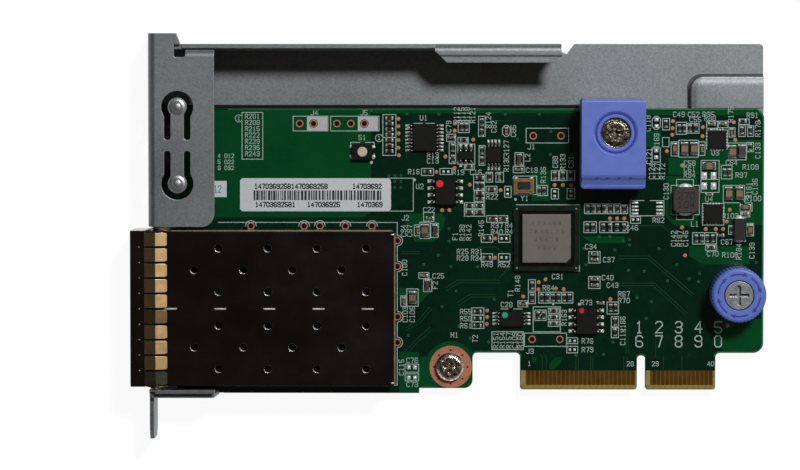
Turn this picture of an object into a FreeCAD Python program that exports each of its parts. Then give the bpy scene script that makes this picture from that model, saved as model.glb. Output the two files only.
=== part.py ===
"""Network interface card: a populated board on a folded steel tray, with two module ports.

Datum while modelling: X runs from the outer face of the faceplate along the card, Y from the outer
face of the long wall (everything lies on its minus side) and Z up from the underside of the tray.
Each sub-part's Placement then carries it to the card's own frame, whose origin is the middle of the
card's underside, with the ports facing -X and the components facing +Z.
"""
import FreeCAD
import Part
import math
import os
import re
import Sketcher

Vector = FreeCAD.Vector

# Driving sizes in millimetres: name, value, meaning.
SIZES = (
    # folded sheet
    ("sheet_gauge", 0.8, "thickness of the steel sheet"),
    ("bend_radius", 0.5, "inner radius of every bend"),
    ("plate_height", 13.6, "height of the faceplate"),
    ("plate_drop", 64.5, "faceplate's lower end below the long wall"),
    ("ear_rise", 1.94, "ear's reach past the long wall"),
    ("ear_reach", 5.2, "ear's length along the card"),
    ("ear_slant", 0.75, "run of the ear's slanted end"),
    ("flange_reach", 12.05, "width of the top flange"),
    ("flange_corner", 2.4, "corner radius of the top flange"),
    ("tray_length", 112.55, "tray's length from the faceplate"),
    ("tray_corner", 0.75, "corner radius of the tray"),
    ("tray_drop_ports", 61.4, "tray's edge below the ports"),
    ("tray_drop_lobe", 62.9, "tray's edge under the board screw"),
    ("tray_drop_right", 55.6, "tray's edge behind the edge contacts"),
    ("tray_step", 49.8, "where the tray steps down to the board screw"),
    ("tray_lobe_end", 58.6, "where the tray steps back up"),
    ("corner_tab", 3.0, "width of the tray's corner tab"),
    ("wall_start", 6.15, "near end of the long wall"),
    ("wall_end", 75.05, "far end of the long wall"),
    ("wall_top", 12.6, "height of the long wall"),
    ("vee_middle", 76.4, "deepest point of the bend relief"),
    ("vee_end", 77.8, "far end of the bend relief"),
    ("vee_depth", 1.85, "depth of the bend relief"),
    ("relief_width", 1.4, "width of a bend relief slot"),
    ("relief_depth", 2.4, "depth of a bend relief slot"),
    ("lip_start", 52.1, "near end of the lip on the wall"),
    ("lip_depth", 3.4, "lip's reach over the tray"),
    ("lip_slant", 2.7, "run of the lip's slanted end"),
    ("lip_flat", 2.0, "flat part of the lip before its joggle"),
    ("lip_joggle", 0.35, "drop of the lip's joggle"),
    ("hem_drop", 3.0, "depth of the flange's turned-down hem"),
    ("hem_gap", 0.15, "gap between the hem and the wall"),
    ("flag_reach", 12.4, "length of the lower end wall"),
    ("flag_slant", 0.6, "run of the lower end wall's slanted end"),
    ("flag_bottom", 3.0, "underside of the lower end wall"),
    ("flag_root", 10.9, "underside of the end wall at its bend"),
    ("tongue_low", 1.9, "tongue's lower edge"),
    ("tongue_width", 8.9, "tongue's width"),
    ("tongue_length", 7.7, "tongue's reach past the faceplate"),
    ("tongue_bevel", 1.2, "bevel at the tongue's corners"),
    # vents, slots and spring tabs
    ("vent_flats", 3.9, "hexagonal vent across its flats"),
    ("vent_web", 1.1, "web between two vents"),
    ("vent_first", 4.35, "first row of vents below the wall"),
    ("vent_middle", 7.1, "height of the vents' centre line"),
    ("slot_first", 36.4, "first bend slot below the wall"),
    ("slot_pitch", 7.15, "pitch of the bend slots"),
    ("slot_width", 2.1, "width of a bend slot"),
    ("slot_height", 2.5, "height of a bend slot on the faceplate"),
    ("slot_reach", 2.0, "reach of a bend slot into the tray"),
    ("last_slot_place", 62.3, "short bend slot below the wall"),
    ("last_slot_height", 1.75, "height of the short bend slot"),
    ("tab_line", 5.35, "spring tabs' centre line from the faceplate"),
    ("tab_middle", 18.4, "bridge between the spring tabs"),
    ("tab_reach", 6.95, "from the bridge to a tab's head"),
    ("tab_bridge", 2.0, "width of the bridge"),
    ("tab_width", 2.4, "width of a spring tab"),
    ("tab_head", 1.72, "radius of a tab's head"),
    ("tab_dimple", 0.8, "radius of a tab's dimple"),
    ("keyhole_radius", 2.92, "round end of the keyhole cut-out"),
    ("keyhole_width", 4.8, "straight part of the keyhole cut-out"),
    # embossed pad that carries the board
    ("boss_start", 98.95, "near edge of the embossed pad"),
    ("boss_top", 5.8, "upper edge of the embossed pad"),
    ("boss_bottom", 53.0, "lower edge of the embossed pad"),
    ("boss_rise", 1.2, "rise of the embossed pad"),
    ("boss_corner", 2.6, "corner radius of the embossed pad"),
    ("boss_round", 0.5, "rounding of the pad's shoulder"),
    # insulating film
    ("film_gauge", 0.25, "thickness of the film"),
    ("film_start", 4.6, "near edge of the film"),
    ("film_top", 11.25, "upper edge of the film"),
    ("film_end", 78.3, "far edge of the film"),
    ("film_bottom", 54.8, "lower edge of the film"),
    # board
    ("board_gauge", 1.57, "thickness of the board"),
    ("board_start", 4.2, "near edge of the board"),
    ("board_end", 112.6, "far edge of the board"),
    ("board_top", 11.88, "upper edge of the board"),
    ("board_corner", 1.9, "corner radius of the board"),
    ("board_inset_end", 13.0, "end of the inset beside the end wall"),
    ("board_inset_drop", 62.95, "board's edge beside the end wall"),
    ("board_drop_ports", 64.35, "board's lower edge under the ports"),
    ("board_step", 49.2, "step beside the board screw"),
    ("board_drop_lobe", 63.45, "board's edge below the board screw"),
    ("board_lobe_end", 59.05, "far edge of the lobe with the board screw"),
    ("notch_drop", 56.9, "top of the notch before the edge contacts"),
    ("tab_one_start", 67.8, "near edge of the long contact tab"),
    ("tab_one_end", 89.35, "far edge of the long contact tab"),
    ("key_width", 1.5, "width of the key slot"),
    ("key_drop", 57.4, "top of the key slot"),
    ("tab_two_end", 103.8, "far edge of the short contact tab"),
    ("tab_drop", 63.7, "insertion edge of the contact tabs"),
    ("notch_corner", 0.85, "corner radius inside the notch"),
    ("contact_pitch", 0.8, "pitch of the edge contacts"),
    ("contact_width", 0.56, "width of an edge contact"),
    ("contact_length", 5.0, "length of an edge contact"),
    ("contact_inset", 0.9, "edge contacts' distance from the insertion edge"),
    ("contact_gauge", 0.05, "thickness of the gold contacts"),
    # screw positions and hardware
    ("block_hole_x", 84.9, "block screw along the card"),
    ("block_hole_y", 16.15, "block screw below the wall"),
    ("board_hole_x", 54.85, "board screw along the card"),
    ("board_hole_y", 59.45, "board screw below the wall"),
    ("knob_x", 107.5, "thumbscrew along the card"),
    ("knob_y", 45.75, "thumbscrew below the wall"),
    ("screw_radius", 1.5, "outer radius of the screws' threads"),
    ("screw_clearance", 0.15, "clearance round a screw in its hole"),
    ("screw_head_radius", 2.64, "radius of a pan head"),
    ("screw_head_height", 1.7, "height of a pan head"),
    ("recess_reach", 1.35, "half span of a cross recess"),
    ("recess_width", 0.62, "width of a cross recess arm"),
    ("recess_depth", 0.9, "depth of a cross recess"),
    ("standoff_radius", 2.6, "radius of a clinched standoff"),
    ("standoff_stem", 2.1, "radius of a standoff's clinched end"),
    ("press_gap", 0.02, "gap round a clinched piece"),
    # cage for the modules
    ("cage_nose", 3.33, "cage's reach through the faceplate"),
    ("cage_length", 48.0, "length of the cage"),
    ("cage_top_edge", 34.05, "cage's upper side below the wall"),
    ("cage_width", 28.15, "width of the cage"),
    ("cage_height", 9.8, "height of the cage"),
    ("cage_gauge", 0.25, "thickness of the cage sheet"),
    ("cage_floor_end", 29.0, "end of the cage's floor"),
    ("cage_vent", 0.73, "radius of a vent in the cage"),
    ("cage_vent_pitch", 8.94, "pitch of the vents"),
    ("cage_vent_first", 12.78, "first vent of the outer rows"),
    ("cage_vent_side", 3.95, "outer rows' distance from a port's centre line"),
    ("slit_first", 4.15, "first slit for the divider's tabs"),
    ("slit_length", 2.2, "length of a slit"),
    ("slit_width", 0.6, "width of a slit"),
    ("leg_width", 0.7, "width of a cage leg"),
    ("leg_length", 2.3, "length of a cage leg"),
    ("leg_hole", 0.5, "radius of a plated hole for a leg"),
    ("collar_reach", 2.05, "width of the collar round the nose"),
    ("collar_gauge", 0.15, "thickness of the collar and its fingers"),
    ("finger_width", 2.45, "width of a spring finger"),
    ("finger_pitch", 2.81, "pitch of the spring fingers"),
    ("finger_ridge", 1.25, "finger's ridge behind the plate's outer face"),
    ("finger_end", 3.4, "finger's end behind the plate's outer face"),
    ("finger_rise", 0.55, "finger's rise at its ridge"),
    ("opening_gap", 0.15, "gap round the fingers in the faceplate"),
    # module connectors inside the cage
    ("socket_start", 31.0, "front of a module connector"),
    ("socket_length", 9.4, "length of a module connector"),
    ("socket_width", 12.3, "width of a module connector"),
    ("socket_height", 5.9, "height of a module connector"),
    ("socket_slot_width", 9.6, "width of the slot for a module's board"),
    ("socket_slot_height", 1.5, "height of that slot"),
    ("socket_slot_depth", 6.2, "depth of that slot"),
    ("socket_slot_place", 3.1, "slot's centre above the board"),
    # processor package
    ("phy_x", 72.6, "processor along the card"),
    ("phy_y", 35.72, "processor below the wall"),
    ("phy_side", 12.0, "side of the processor's substrate"),
    ("phy_gauge", 0.6, "thickness of the substrate"),
    ("phy_lid_side", 9.0, "side of the processor's lid"),
    ("phy_lid_height", 0.75, "height of the lid"),
    ("phy_lid_bevel", 0.9, "bevel at the lid's marked corner"),
    ("ball_radius", 0.26, "radius of a solder ball"),
    ("ball_height", 0.38, "height of a soldered ball"),
    ("ball_pitch", 1.0, "pitch of the solder balls"),
    # leaded chips
    ("seat_gap", 0.12, "gap under a moulded chip"),
    ("body_draft", 0.18, "draft of a moulded chip's sides"),
    ("lead_gauge", 0.18, "thickness of a chip's leads"),
    # inductor, oscillator and tantalum capacitor
    ("coil_side", 4.75, "side of the power inductor"),
    ("coil_height", 2.8, "height of the power inductor"),
    ("coil_bevel", 0.7, "corner bevel of the power inductor"),
    ("crystal_length", 3.7, "length of the oscillator"),
    ("crystal_width", 2.75, "width of the oscillator"),
    ("crystal_height", 0.75, "height of the oscillator's base"),
    ("crystal_rim", 0.3, "rim round the oscillator's lid"),
    ("tantalum_length", 3.9, "length of the tantalum capacitor"),
    ("tantalum_width", 2.0, "width of the tantalum capacitor"),
    ("tantalum_height", 1.6, "height of the tantalum capacitor"),
    # push switch
    ("switch_x", 38.75, "switch along the card"),
    ("switch_y", 19.8, "switch below the wall"),
    ("switch_length", 3.6, "length of the switch"),
    ("switch_width", 2.8, "width of the switch"),
    ("switch_height", 1.5, "height of the switch's case"),
    ("button_radius", 0.92, "radius of the switch's button"),
    ("button_rise", 0.5, "button's rise above its case"),
    ("button_travel", 0.25, "travel of the button"),
    ("button_gap", 0.06, "clearance round the button"),
    # guide block
    ("block_start", 78.7, "near side of the guide block"),
    ("block_end", 90.35, "far side of the guide block"),
    ("block_top_edge", 9.95, "upper side of the guide block"),
    ("block_bottom_edge", 26.4, "lower side of the guide block"),
    ("block_height", 9.6, "height of the guide block above the board"),
    ("block_lip", 2.1, "width of the block's lower lip"),
    ("block_lip_drop", 1.5, "lip's drop below the block's top"),
    ("block_wall", 1.4, "wall of the hollow block"),
    ("block_round", 0.6, "rounding of the block's edges"),
    ("block_recess", 3.73, "radius of the recess for the screw head"),
    ("block_recess_depth", 3.0, "depth of the recess"),
    ("block_post", 4.9, "radius of the screw post in the block"),
    # captive thumbscrew
    ("knob_radius", 4.97, "radius of the knob"),
    ("knob_bottom", 1.05, "knob's underside above the board at rest"),
    ("knob_height", 7.0, "height of the knob"),
    ("knob_grooves", 48, "number of grip grooves"),
    ("groove_radius", 0.16, "radius of a grip groove"),
    ("knob_round", 0.45, "rounding of the knob's top"),
    ("knob_head_radius", 2.78, "radius of the thumbscrew's head"),
    ("knob_head_height", 1.9, "height of the thumbscrew's head"),
    ("knob_neck", 2.0, "radius of the thumbscrew's neck"),
    ("knob_hollow", 3.6, "radius of the hollow under the knob"),
    ("knob_hollow_depth", 1.3, "depth of the hollow under the knob"),
    ("shank_radius", 1.45, "radius of the thumbscrew's shank"),
    ("shank_clearance", 0.08, "running clearance of the shank"),
    ("tip_height", 0.12, "shank's tip above the underside of the tray"),
    ("ferrule_radius", 2.85, "radius of the ferrule"),
    ("ferrule_stem", 2.4, "radius of the ferrule's clinched end"),
    ("ferrule_rise", 0.75, "ferrule's rise above the board"),
    ("clip_gauge", 0.4, "thickness of the retaining ring"),
    ("clip_radius", 2.2, "outer radius of the retaining ring"),
    ("clip_play", 0.2, "play of the retaining ring under the ferrule"),
    ("clip_groove", 1.1, "radius of the retaining ring's groove"),
    # labels
    ("label_x", 30.1, "label's centre along the card"),
    ("label_y", 27.75, "label's centre below the wall"),
    ("label_length", 27.8, "length of the label"),
    ("label_width", 6.1, "width of the label"),
    ("label_corner", 0.7, "corner radius of the label"),
    ("label_gauge", 0.1, "thickness of the labels"),
    ("tag_end", 13.75, "far edge of the small label"),
    ("tag_y", 26.7, "small label's centre below the wall"),
    ("tag_length", 6.0, "length of the small label"),
    ("tag_width", 3.0, "width of the small label"),
    # chip components
    ("small_chip_length", 1.0, "length of a small chip component"),
    ("small_chip_width", 0.5, "width of a small chip component"),
    ("small_chip_end", 0.25, "length of a small component's end"),
    ("medium_chip_length", 1.6, "length of a medium chip component"),
    ("medium_chip_width", 0.8, "width of a medium chip component"),
    ("medium_chip_end", 0.35, "length of a medium component's end"),
    ("large_chip_length", 2.0, "length of a large chip component"),
    ("large_chip_width", 1.25, "width of a large chip component"),
    ("large_chip_end", 0.45, "length of a large component's end"),
    ("resistor_height", 0.35, "height of a chip resistor"),
    ("large_chip_height", 0.95, "height of a large chip component"),
    ("chip_plating", 0.02, "rise of an end above the body of its component"),
)

doc = FreeCAD.newDocument("network_card")
sheet = doc.addObject("Spreadsheet::Sheet", "Sizes")
for row, (alias, value, meaning) in enumerate(SIZES, start=1):
    sheet.set(f"A{row}", meaning)
    sheet.set(f"B{row}", str(value))
    sheet.setAlias(f"B{row}", alias)
doc.recompute()

SUB_PARTS = []


def bound(text):
    """The expression with each size read from the sheet."""
    return re.sub(r"[a-z][a-z_]+", lambda word: "Sizes." + word.group(0), str(text))


def val(text):
    """The expression's value in millimetres."""
    result = sheet.evalExpression(bound(text))
    return float(getattr(result, "Value", result))


# Heights that several pieces share.
BOARD_LOW = "(sheet_gauge + boss_rise)"
BOARD_HIGH = "(sheet_gauge + boss_rise + board_gauge)"
MIDDLE_X = "((board_end - cage_nose) / 2)"
MIDDLE_Y = "((ear_rise - plate_drop - tongue_length) / 2)"
CAGE_BOTTOM_EDGE = "(cage_top_edge + cage_width)"
CAGE_MIDDLE = "(cage_top_edge + cage_width / 2)"
CAGE_ROOF = f"({BOARD_HIGH} + cage_height)"


def place(piece, label):
    """Names a finished sub-part and carries it from the datum to the card's own frame."""
    piece.Label = label
    piece.setExpression("Placement.Base.x", bound(f"0 - {MIDDLE_X}"))
    piece.setExpression("Placement.Base.y", bound(f"0 - {MIDDLE_Y}"))
    SUB_PARTS.append(piece)


def group(label, solids):
    """A sub-part of like solids that no single feature makes."""
    piece = doc.addObject("Part::Feature", label)
    piece.Shape = Part.makeCompound(solids)
    place(piece, label)


# Sketching helpers: every corner is a pair of expressions measured from the datum.
def new_body(name):
    return doc.addObject("PartDesign::Body", name)


def plane_of(body, role):
    for feature in body.Origin.OriginFeatures:
        if feature.Role == role:
            return feature
    raise ValueError(f"no origin plane {role}")


def new_sketch(body, name, role, offset="0"):
    sketch = body.newObject("Sketcher::SketchObject", name)
    sketch.AttachmentSupport = [(plane_of(body, role), "")]
    sketch.MapMode = "FlatFace"
    sketch.setExpression("AttachmentOffset.Base.z", bound(offset))
    return sketch


def pin_point(sketch, geometry, point, across, along):
    """Fixes one point of a sketch's geometry at a pair of expressions."""
    for kind, text in (("DistanceX", across), ("DistanceY", along)):
        index = sketch.addConstraint(Sketcher.Constraint(kind, -1, 1, geometry, point, val(text)))
        if re.search("[a-z]", str(text)):
            sketch.setExpression(f"Constraints[{index}]", bound(text))


def outline(sketch, corners):
    """A closed outline of straight runs; a corner's third value is the radius that rounds it."""
    points = [Vector(val(corner[0]), val(corner[1]), 0) for corner in corners]
    count = len(points)
    starts = []
    ends = []
    rounds = {}
    for index, corner in enumerate(corners):
        point = points[index]
        if len(corner) == 2:
            starts.append(point)
            ends.append(point)
            continue
        back = (points[index - 1] - point).normalize()
        ahead = (points[(index + 1) % count] - point).normalize()
        half_angle = back.getAngle(ahead) / 2
        radius = val(corner[2])
        reach = radius / math.tan(half_angle)
        centre = point + (back + ahead).normalize() * (radius / math.sin(half_angle))
        ends.append(point + back * reach)
        starts.append(point + ahead * reach)
        rounds[index] = (centre, radius, back.cross(ahead).z < 0)
    lines = []
    for index in range(count):
        run = Part.LineSegment(starts[index], ends[(index + 1) % count])
        lines.append(sketch.addGeometry(run, False))
    for index, corner in enumerate(corners):
        before = lines[index - 1]
        after = lines[index]
        if index not in rounds:
            sketch.addConstraint(Sketcher.Constraint("Coincident", before, 2, after, 1))
            pin_point(sketch, after, 1, corner[0], corner[1])
            continue
        centre, radius, left_turn = rounds[index]
        first, last = (ends[index], starts[index]) if left_turn else (starts[index], ends[index])
        angles = [math.atan2(spot.y - centre.y, spot.x - centre.x) for spot in (first, last)]
        arc = sketch.addGeometry(Part.ArcOfCircle(Part.Circle(centre, Vector(0, 0, 1), radius), *angles), False)
        knot = sketch.addGeometry(Part.Point(points[index]), True)
        first_end, last_end = (1, 2) if left_turn else (2, 1)
        sketch.addConstraint(Sketcher.Constraint("Tangent", before, 2, arc, first_end))
        sketch.addConstraint(Sketcher.Constraint("Tangent", after, 1, arc, last_end))
        sketch.addConstraint(Sketcher.Constraint("PointOnObject", knot, 1, before))
        sketch.addConstraint(Sketcher.Constraint("PointOnObject", knot, 1, after))
        pin_point(sketch, knot, 1, corner[0], corner[1])
        size = sketch.addConstraint(Sketcher.Constraint("Radius", arc, radius))
        sketch.setExpression(f"Constraints[{size}]", bound(corner[2]))


def rectangle(sketch, left, bottom, right, top):
    outline(sketch, ((left, bottom), (right, bottom), (right, top), (left, top)))


def circle(sketch, across, along, radius):
    centre = Vector(val(across), val(along), 0)
    index = sketch.addGeometry(Part.Circle(centre, Vector(0, 0, 1), val(radius)), False)
    pin_point(sketch, index, 3, across, along)
    size = sketch.addConstraint(Sketcher.Constraint("Radius", index, val(radius)))
    sketch.setExpression(f"Constraints[{size}]", bound(radius))


def pad(body, sketch, length):
    """Adds material on the sketch's positive side."""
    feature = body.newObject("PartDesign::Pad", "Pad")
    feature.Profile = sketch
    feature.setExpression("Length", bound(length))
    sketch.Visibility = False
    return feature


def pocket(body, sketch, length, reverse=False):
    """Cuts away from the sketch's positive side, or towards it when reversed."""
    doc.recompute()
    before = body.Tip.Shape.Volume
    feature = body.newObject("PartDesign::Pocket", "Pocket")
    feature.Profile = sketch
    feature.Reversed = reverse
    feature.setExpression("Length", bound(length))
    doc.recompute()
    if not feature.Shape.Volume < before:
        raise ValueError(f"{sketch.Name} cuts nothing")
    return feature


def rounded(body, kind, size, wanted, length_name):
    """Fillets or chamfers the edges of the body's tip that the test picks."""
    doc.recompute()
    base = body.Tip
    names = [f"Edge{index}" for index, edge in enumerate(base.Shape.Edges, start=1) if wanted(edge)]
    if not names:
        raise ValueError(f"{body.Name} has no edge to round")
    feature = body.newObject(kind, kind.split("::")[1])
    feature.Base = (base, names)
    feature.setExpression(length_name, bound(size))
    doc.recompute()
    return feature


def fillet(body, radius, wanted):
    return rounded(body, "PartDesign::Fillet", radius, wanted, "Radius")


def chamfer(body, size, wanted):
    return rounded(body, "PartDesign::Chamfer", size, wanted, "Size")


NEAR = 0.02


def runs_along(edge, axis):
    """Whether an edge is a straight run along the axis 0, 1 or 2."""
    if edge.Curve.TypeId != "Part::GeomLine":
        return False
    start, end = (vertex.Point for vertex in (edge.Vertexes[0], edge.Vertexes[-1]))
    return all(abs(start[other] - end[other]) < NEAR for other in range(3) if other != axis)


def edge_at(axis, *places):
    """Picks straight edges along one axis through the given points of the other two axes."""
    others = [other for other in range(3) if other != axis]
    targets = [tuple(val(text) for text in pair) for pair in places]

    def wanted(edge):
        if not runs_along(edge, axis):
            return False
        middle = edge.CenterOfMass
        return any(all(abs(middle[other] - target[rank]) < NEAR for rank, other in enumerate(others))
                   for target in targets)
    return wanted


def all_of(*tests):
    """Picks the edges that any of the tests picks."""
    return lambda edge: any(test(edge) for test in tests)


# ---------------------------------------------------------------- folded sheet
BEND = "(sheet_gauge + bend_radius)"
STRIP = "(sheet_gauge + bend_radius * 2)"
HEM_FACE = "(sheet_gauge + hem_gap)"
FINGER_ROOM = "(collar_gauge + finger_rise + opening_gap)"
PORTS_TOP = f"(cage_top_edge - {FINGER_ROOM})"
PORTS_BOTTOM = f"({CAGE_BOTTOM_EDGE} + {FINGER_ROOM})"


def folded_tray():
    """Tray, faceplate, flange, long wall, end wall and tongue, folded from one blank."""
    body = new_body("bracket_tray")
    tray_floor(body)
    channel(body)
    long_wall(body)
    end_wall(body)
    port_opening(body)
    embossed_pad(body)
    standoff_holes(body)
    bend_slots(body)
    spring_tabs(body)
    vents(body)
    place(body, "bracket_tray")


def tray_floor(body):
    plan = new_sketch(body, "TrayPlan", "XY_Plane")
    relief_near = "wall_start - relief_width"
    outline(plan, ((BEND, "0"), (BEND, "0 - plate_drop"), (f"{BEND} + corner_tab", "0 - plate_drop"),
                   (f"{BEND} + corner_tab", "0 - tray_drop_ports", "tray_corner"),
                   ("tray_step", "0 - tray_drop_ports", "tray_corner / 2"),
                   ("tray_step", "0 - tray_drop_lobe", "tray_corner / 2"),
                   ("tray_lobe_end", "0 - tray_drop_lobe", "tray_corner"),
                   ("tray_lobe_end", "0 - tray_drop_right", "tray_corner"),
                   ("tray_length", "0 - tray_drop_right", "tray_corner"),
                   ("tray_length", "0", "tray_corner"), ("vee_end", "0", "tray_corner / 2"),
                   ("vee_middle", "0 - vee_depth"), ("wall_end", f"0 - {BEND}"),
                   ("wall_start", f"0 - {BEND}"), ("wall_start", "0 - relief_depth"),
                   (relief_near, "0 - relief_depth"), (relief_near, "0")))
    pad(body, plan, "sheet_gauge")


def channel(body):
    """The faceplate with its bends to the tray and to the top flange."""
    section = new_sketch(body, "ChannelSection", "XZ_Plane", "0 - ear_rise")
    outline(section, ((STRIP, "0"), ("0", "0", BEND), ("0", "plate_height", BEND),
                      ("flange_reach", "plate_height"), ("flange_reach", "plate_height - sheet_gauge"),
                      ("sheet_gauge", "plate_height - sheet_gauge", "bend_radius"),
                      ("sheet_gauge", "sheet_gauge", "bend_radius"), (STRIP, "sheet_gauge")))
    pad(body, section, "plate_drop + ear_rise")

    below_ear = new_sketch(body, "BelowEar", "XY_Plane")
    rectangle(below_ear, "sheet_gauge", "0", f"{STRIP} + 0.5", "ear_rise + 1")
    pocket(body, below_ear, BEND, True)

    trim = new_sketch(body, "FlangeTrim", "XY_Plane", "plate_height - sheet_gauge")
    notch_near = "wall_start - relief_width"
    notch_far = "wall_start + relief_width / 2"
    outline(trim, (("ear_reach", "ear_rise + 1"), ("ear_reach", "ear_rise"), ("ear_reach + ear_slant", "0"),
                   (notch_near, "0"), (notch_near, "0 - relief_depth", "relief_width / 3"),
                   (notch_far, "0 - relief_depth", "relief_width / 3"), (notch_far, f"0 - {HEM_FACE} - {BEND}"),
                   ("flange_reach + 1", f"0 - {HEM_FACE} - {BEND}"), ("flange_reach + 1", "ear_rise + 1")))
    pocket(body, trim, "sheet_gauge", True)

    hem = new_sketch(body, "HemSection", "YZ_Plane", notch_far)
    outline(hem, ((f"0 - {HEM_FACE} - {STRIP}", "plate_height"), (f"0 - {HEM_FACE}", "plate_height", BEND),
                  (f"0 - {HEM_FACE}", "plate_height - hem_drop"),
                  (f"0 - {HEM_FACE} - sheet_gauge", "plate_height - hem_drop"),
                  (f"0 - {HEM_FACE} - sheet_gauge", "plate_height - sheet_gauge", "bend_radius"),
                  (f"0 - {HEM_FACE} - {STRIP}", "plate_height - sheet_gauge")))
    pad(body, hem, f"flange_reach - ({notch_far})")

    corner = new_sketch(body, "FlangeCorner", "XY_Plane", "plate_height - sheet_gauge")
    outline(corner, (("flange_reach", "0 - cage_top_edge + flange_corner * 2"),
                     ("flange_reach", f"0 - {PORTS_TOP}", "flange_corner"),
                     ("flange_reach - flange_corner * 1.5", f"0 - {PORTS_TOP}"),
                     ("flange_reach - flange_corner * 1.5", "0 - plate_drop"),
                     ("flange_reach + 1", "0 - plate_drop"),
                     ("flange_reach + 1", "0 - cage_top_edge + flange_corner * 2")))
    pocket(body, corner, "sheet_gauge", True)

    tongue = new_sketch(body, "TongueFace", "YZ_Plane")
    low = "tongue_low"
    high = "tongue_low + tongue_width"
    end = "0 - (plate_drop + tongue_length)"
    outline(tongue, (("0 - plate_drop + 0.5", low), (f"{end} + tongue_bevel * 1.4", low),
                     (end, f"{low} + tongue_bevel"), (end, f"{high} - tongue_bevel"),
                     (f"{end} + tongue_bevel * 1.4", high), ("0 - plate_drop + 0.5", high)))
    pad(body, tongue, "sheet_gauge")


def wall_section(body, name, start, end, corners):
    sketch = new_sketch(body, name, "YZ_Plane", start)
    foot = ((f"0 - {STRIP}", "0"), ("0", "0", BEND))
    back = (("0 - sheet_gauge", "sheet_gauge", "bend_radius"), (f"0 - {STRIP}", "sheet_gauge"))
    outline(sketch, foot + corners + back)
    pad(body, sketch, f"{end} - ({start})")


def long_wall(body):
    """The wall along the tray's edge; its far part carries a lip with a shallow joggle."""
    wall_section(body, "WallSection", "wall_start", "lip_start",
                 (("0", "wall_top"), ("0 - sheet_gauge", "wall_top")))
    low = "wall_top - lip_joggle"
    wall_section(body, "LipSection", "lip_start", "wall_end",
                 (("0", "wall_top", BEND), ("0 - lip_flat", "wall_top"),
                  ("0 - (lip_flat + lip_joggle)", low), ("0 - lip_depth", low),
                  ("0 - lip_depth", f"{low} - sheet_gauge"),
                  ("0 - (lip_flat + lip_joggle * 0.6)", f"{low} - sheet_gauge"),
                  ("0 - (lip_flat - lip_joggle * 0.4)", "wall_top - sheet_gauge"),
                  ("0 - sheet_gauge", "wall_top - sheet_gauge", "bend_radius")))
    slant = new_sketch(body, "LipSlant", "XY_Plane", "wall_top - lip_joggle * 2 - sheet_gauge")
    outline(slant, (("lip_start - 1", f"0 - {BEND}"), ("lip_start", f"0 - {BEND}"),
                    ("lip_start + lip_slant", "0 - lip_depth - 0.5"), ("lip_start - 1", "0 - lip_depth - 0.5")))
    pocket(body, slant, "lip_joggle * 2 + sheet_gauge", True)


def end_wall(body):
    """The wall across the lower end: bent from the plate above the tongue, then widened downwards."""
    clear = new_sketch(body, "EndWallRoot", "YZ_Plane")
    rectangle(clear, "0 - plate_drop - 1", "flag_root", f"0 - plate_drop + {BEND}", "plate_height + 1")
    pocket(body, clear, "flange_reach + 1", True)
    strip = new_sketch(body, "EndStrip", "XZ_Plane", PORTS_BOTTOM)
    rectangle(strip, "sheet_gauge", f"plate_height - {BEND}", "flange_reach + 1", "plate_height + 1")
    pocket(body, strip, f"plate_drop - {PORTS_BOTTOM} + 1")
    root_end = f"{BEND} + sheet_gauge"
    top = f"plate_height - {BEND}"
    bend = new_sketch(body, "EndWallBend", "XY_Plane", "flag_root")
    outline(bend, (("0", f"0 - plate_drop + {STRIP}"), ("0", "0 - plate_drop", BEND),
                   (root_end, "0 - plate_drop"), (root_end, "0 - plate_drop + sheet_gauge"),
                   ("sheet_gauge", "0 - plate_drop + sheet_gauge", "bend_radius"),
                   ("sheet_gauge", f"0 - plate_drop + {STRIP}")))
    pad(body, bend, f"{top} - flag_root")
    face = new_sketch(body, "EndWallFace", "XZ_Plane", "plate_drop - sheet_gauge")
    outline(face, ((f"{BEND}", "flag_root"), (root_end, "flag_root"), (root_end, "flag_bottom"),
                   ("flag_reach", "flag_bottom", "tray_corner"), ("flag_reach - flag_slant", top, "tray_corner"),
                   (f"{BEND}", top)))
    pad(body, face, "sheet_gauge")


def port_opening(body):
    """The ports' opening: the flange stops short of it and the plate is cut down to a low sill."""
    opening = new_sketch(body, "PortOpening", "XY_Plane", f"{BOARD_HIGH} - {FINGER_ROOM}")
    rectangle(opening, "0 - 1", f"0 - {PORTS_BOTTOM}", "flange_reach + 1", f"0 - {PORTS_TOP}")
    pocket(body, opening, "plate_height", True)


ROOT_THREE = 3 ** 0.5


def vents(body):
    """Six rows of hexagons: one whole between two cut ones, then two whole ones, turn about."""
    sketch = new_sketch(body, "Vents", "YZ_Plane")
    half = "vent_flats / 2"
    side = f"vent_flats * {1 / ROOT_THREE:.6f}"
    pitch = "(vent_flats + vent_web)"
    spacing = f"{pitch} * {ROOT_THREE / 2:.6f}"
    slope = f"({half} - vent_web / 2) * {1 / ROOT_THREE:.6f}"
    rows = 6
    for row in range(rows):
        middle = f"0 - vent_first - {row} * {spacing}"
        centres = ("vent_middle",)
        if row % 2:
            centres = (f"vent_middle - {pitch} / 2", f"vent_middle + {pitch} / 2")
        for centre in centres:
            outline(sketch, ((f"{middle} - {side} / 2", f"{centre} - {half}"),
                             (f"{middle} + {side} / 2", f"{centre} - {half}"),
                             (f"{middle} + {side}", centre),
                             (f"{middle} + {side} / 2", f"{centre} + {half}"),
                             (f"{middle} - {side} / 2", f"{centre} + {half}"),
                             (f"{middle} - {side}", centre)))
        if row % 2:
            continue
        for sign in ("-", "+"):
            flat = f"vent_middle {sign} ({pitch} - {half})"
            cut = f"vent_middle {sign} ({pitch} / 2 + {half})"
            outline(sketch, ((f"{middle} - {side} / 2", flat), (f"{middle} + {side} / 2", flat),
                             (f"{middle} + {side} / 2 + {slope}", cut),
                             (f"{middle} - {side} / 2 - {slope}", cut)))
    pocket(body, sketch, "sheet_gauge * 2", True)


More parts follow.
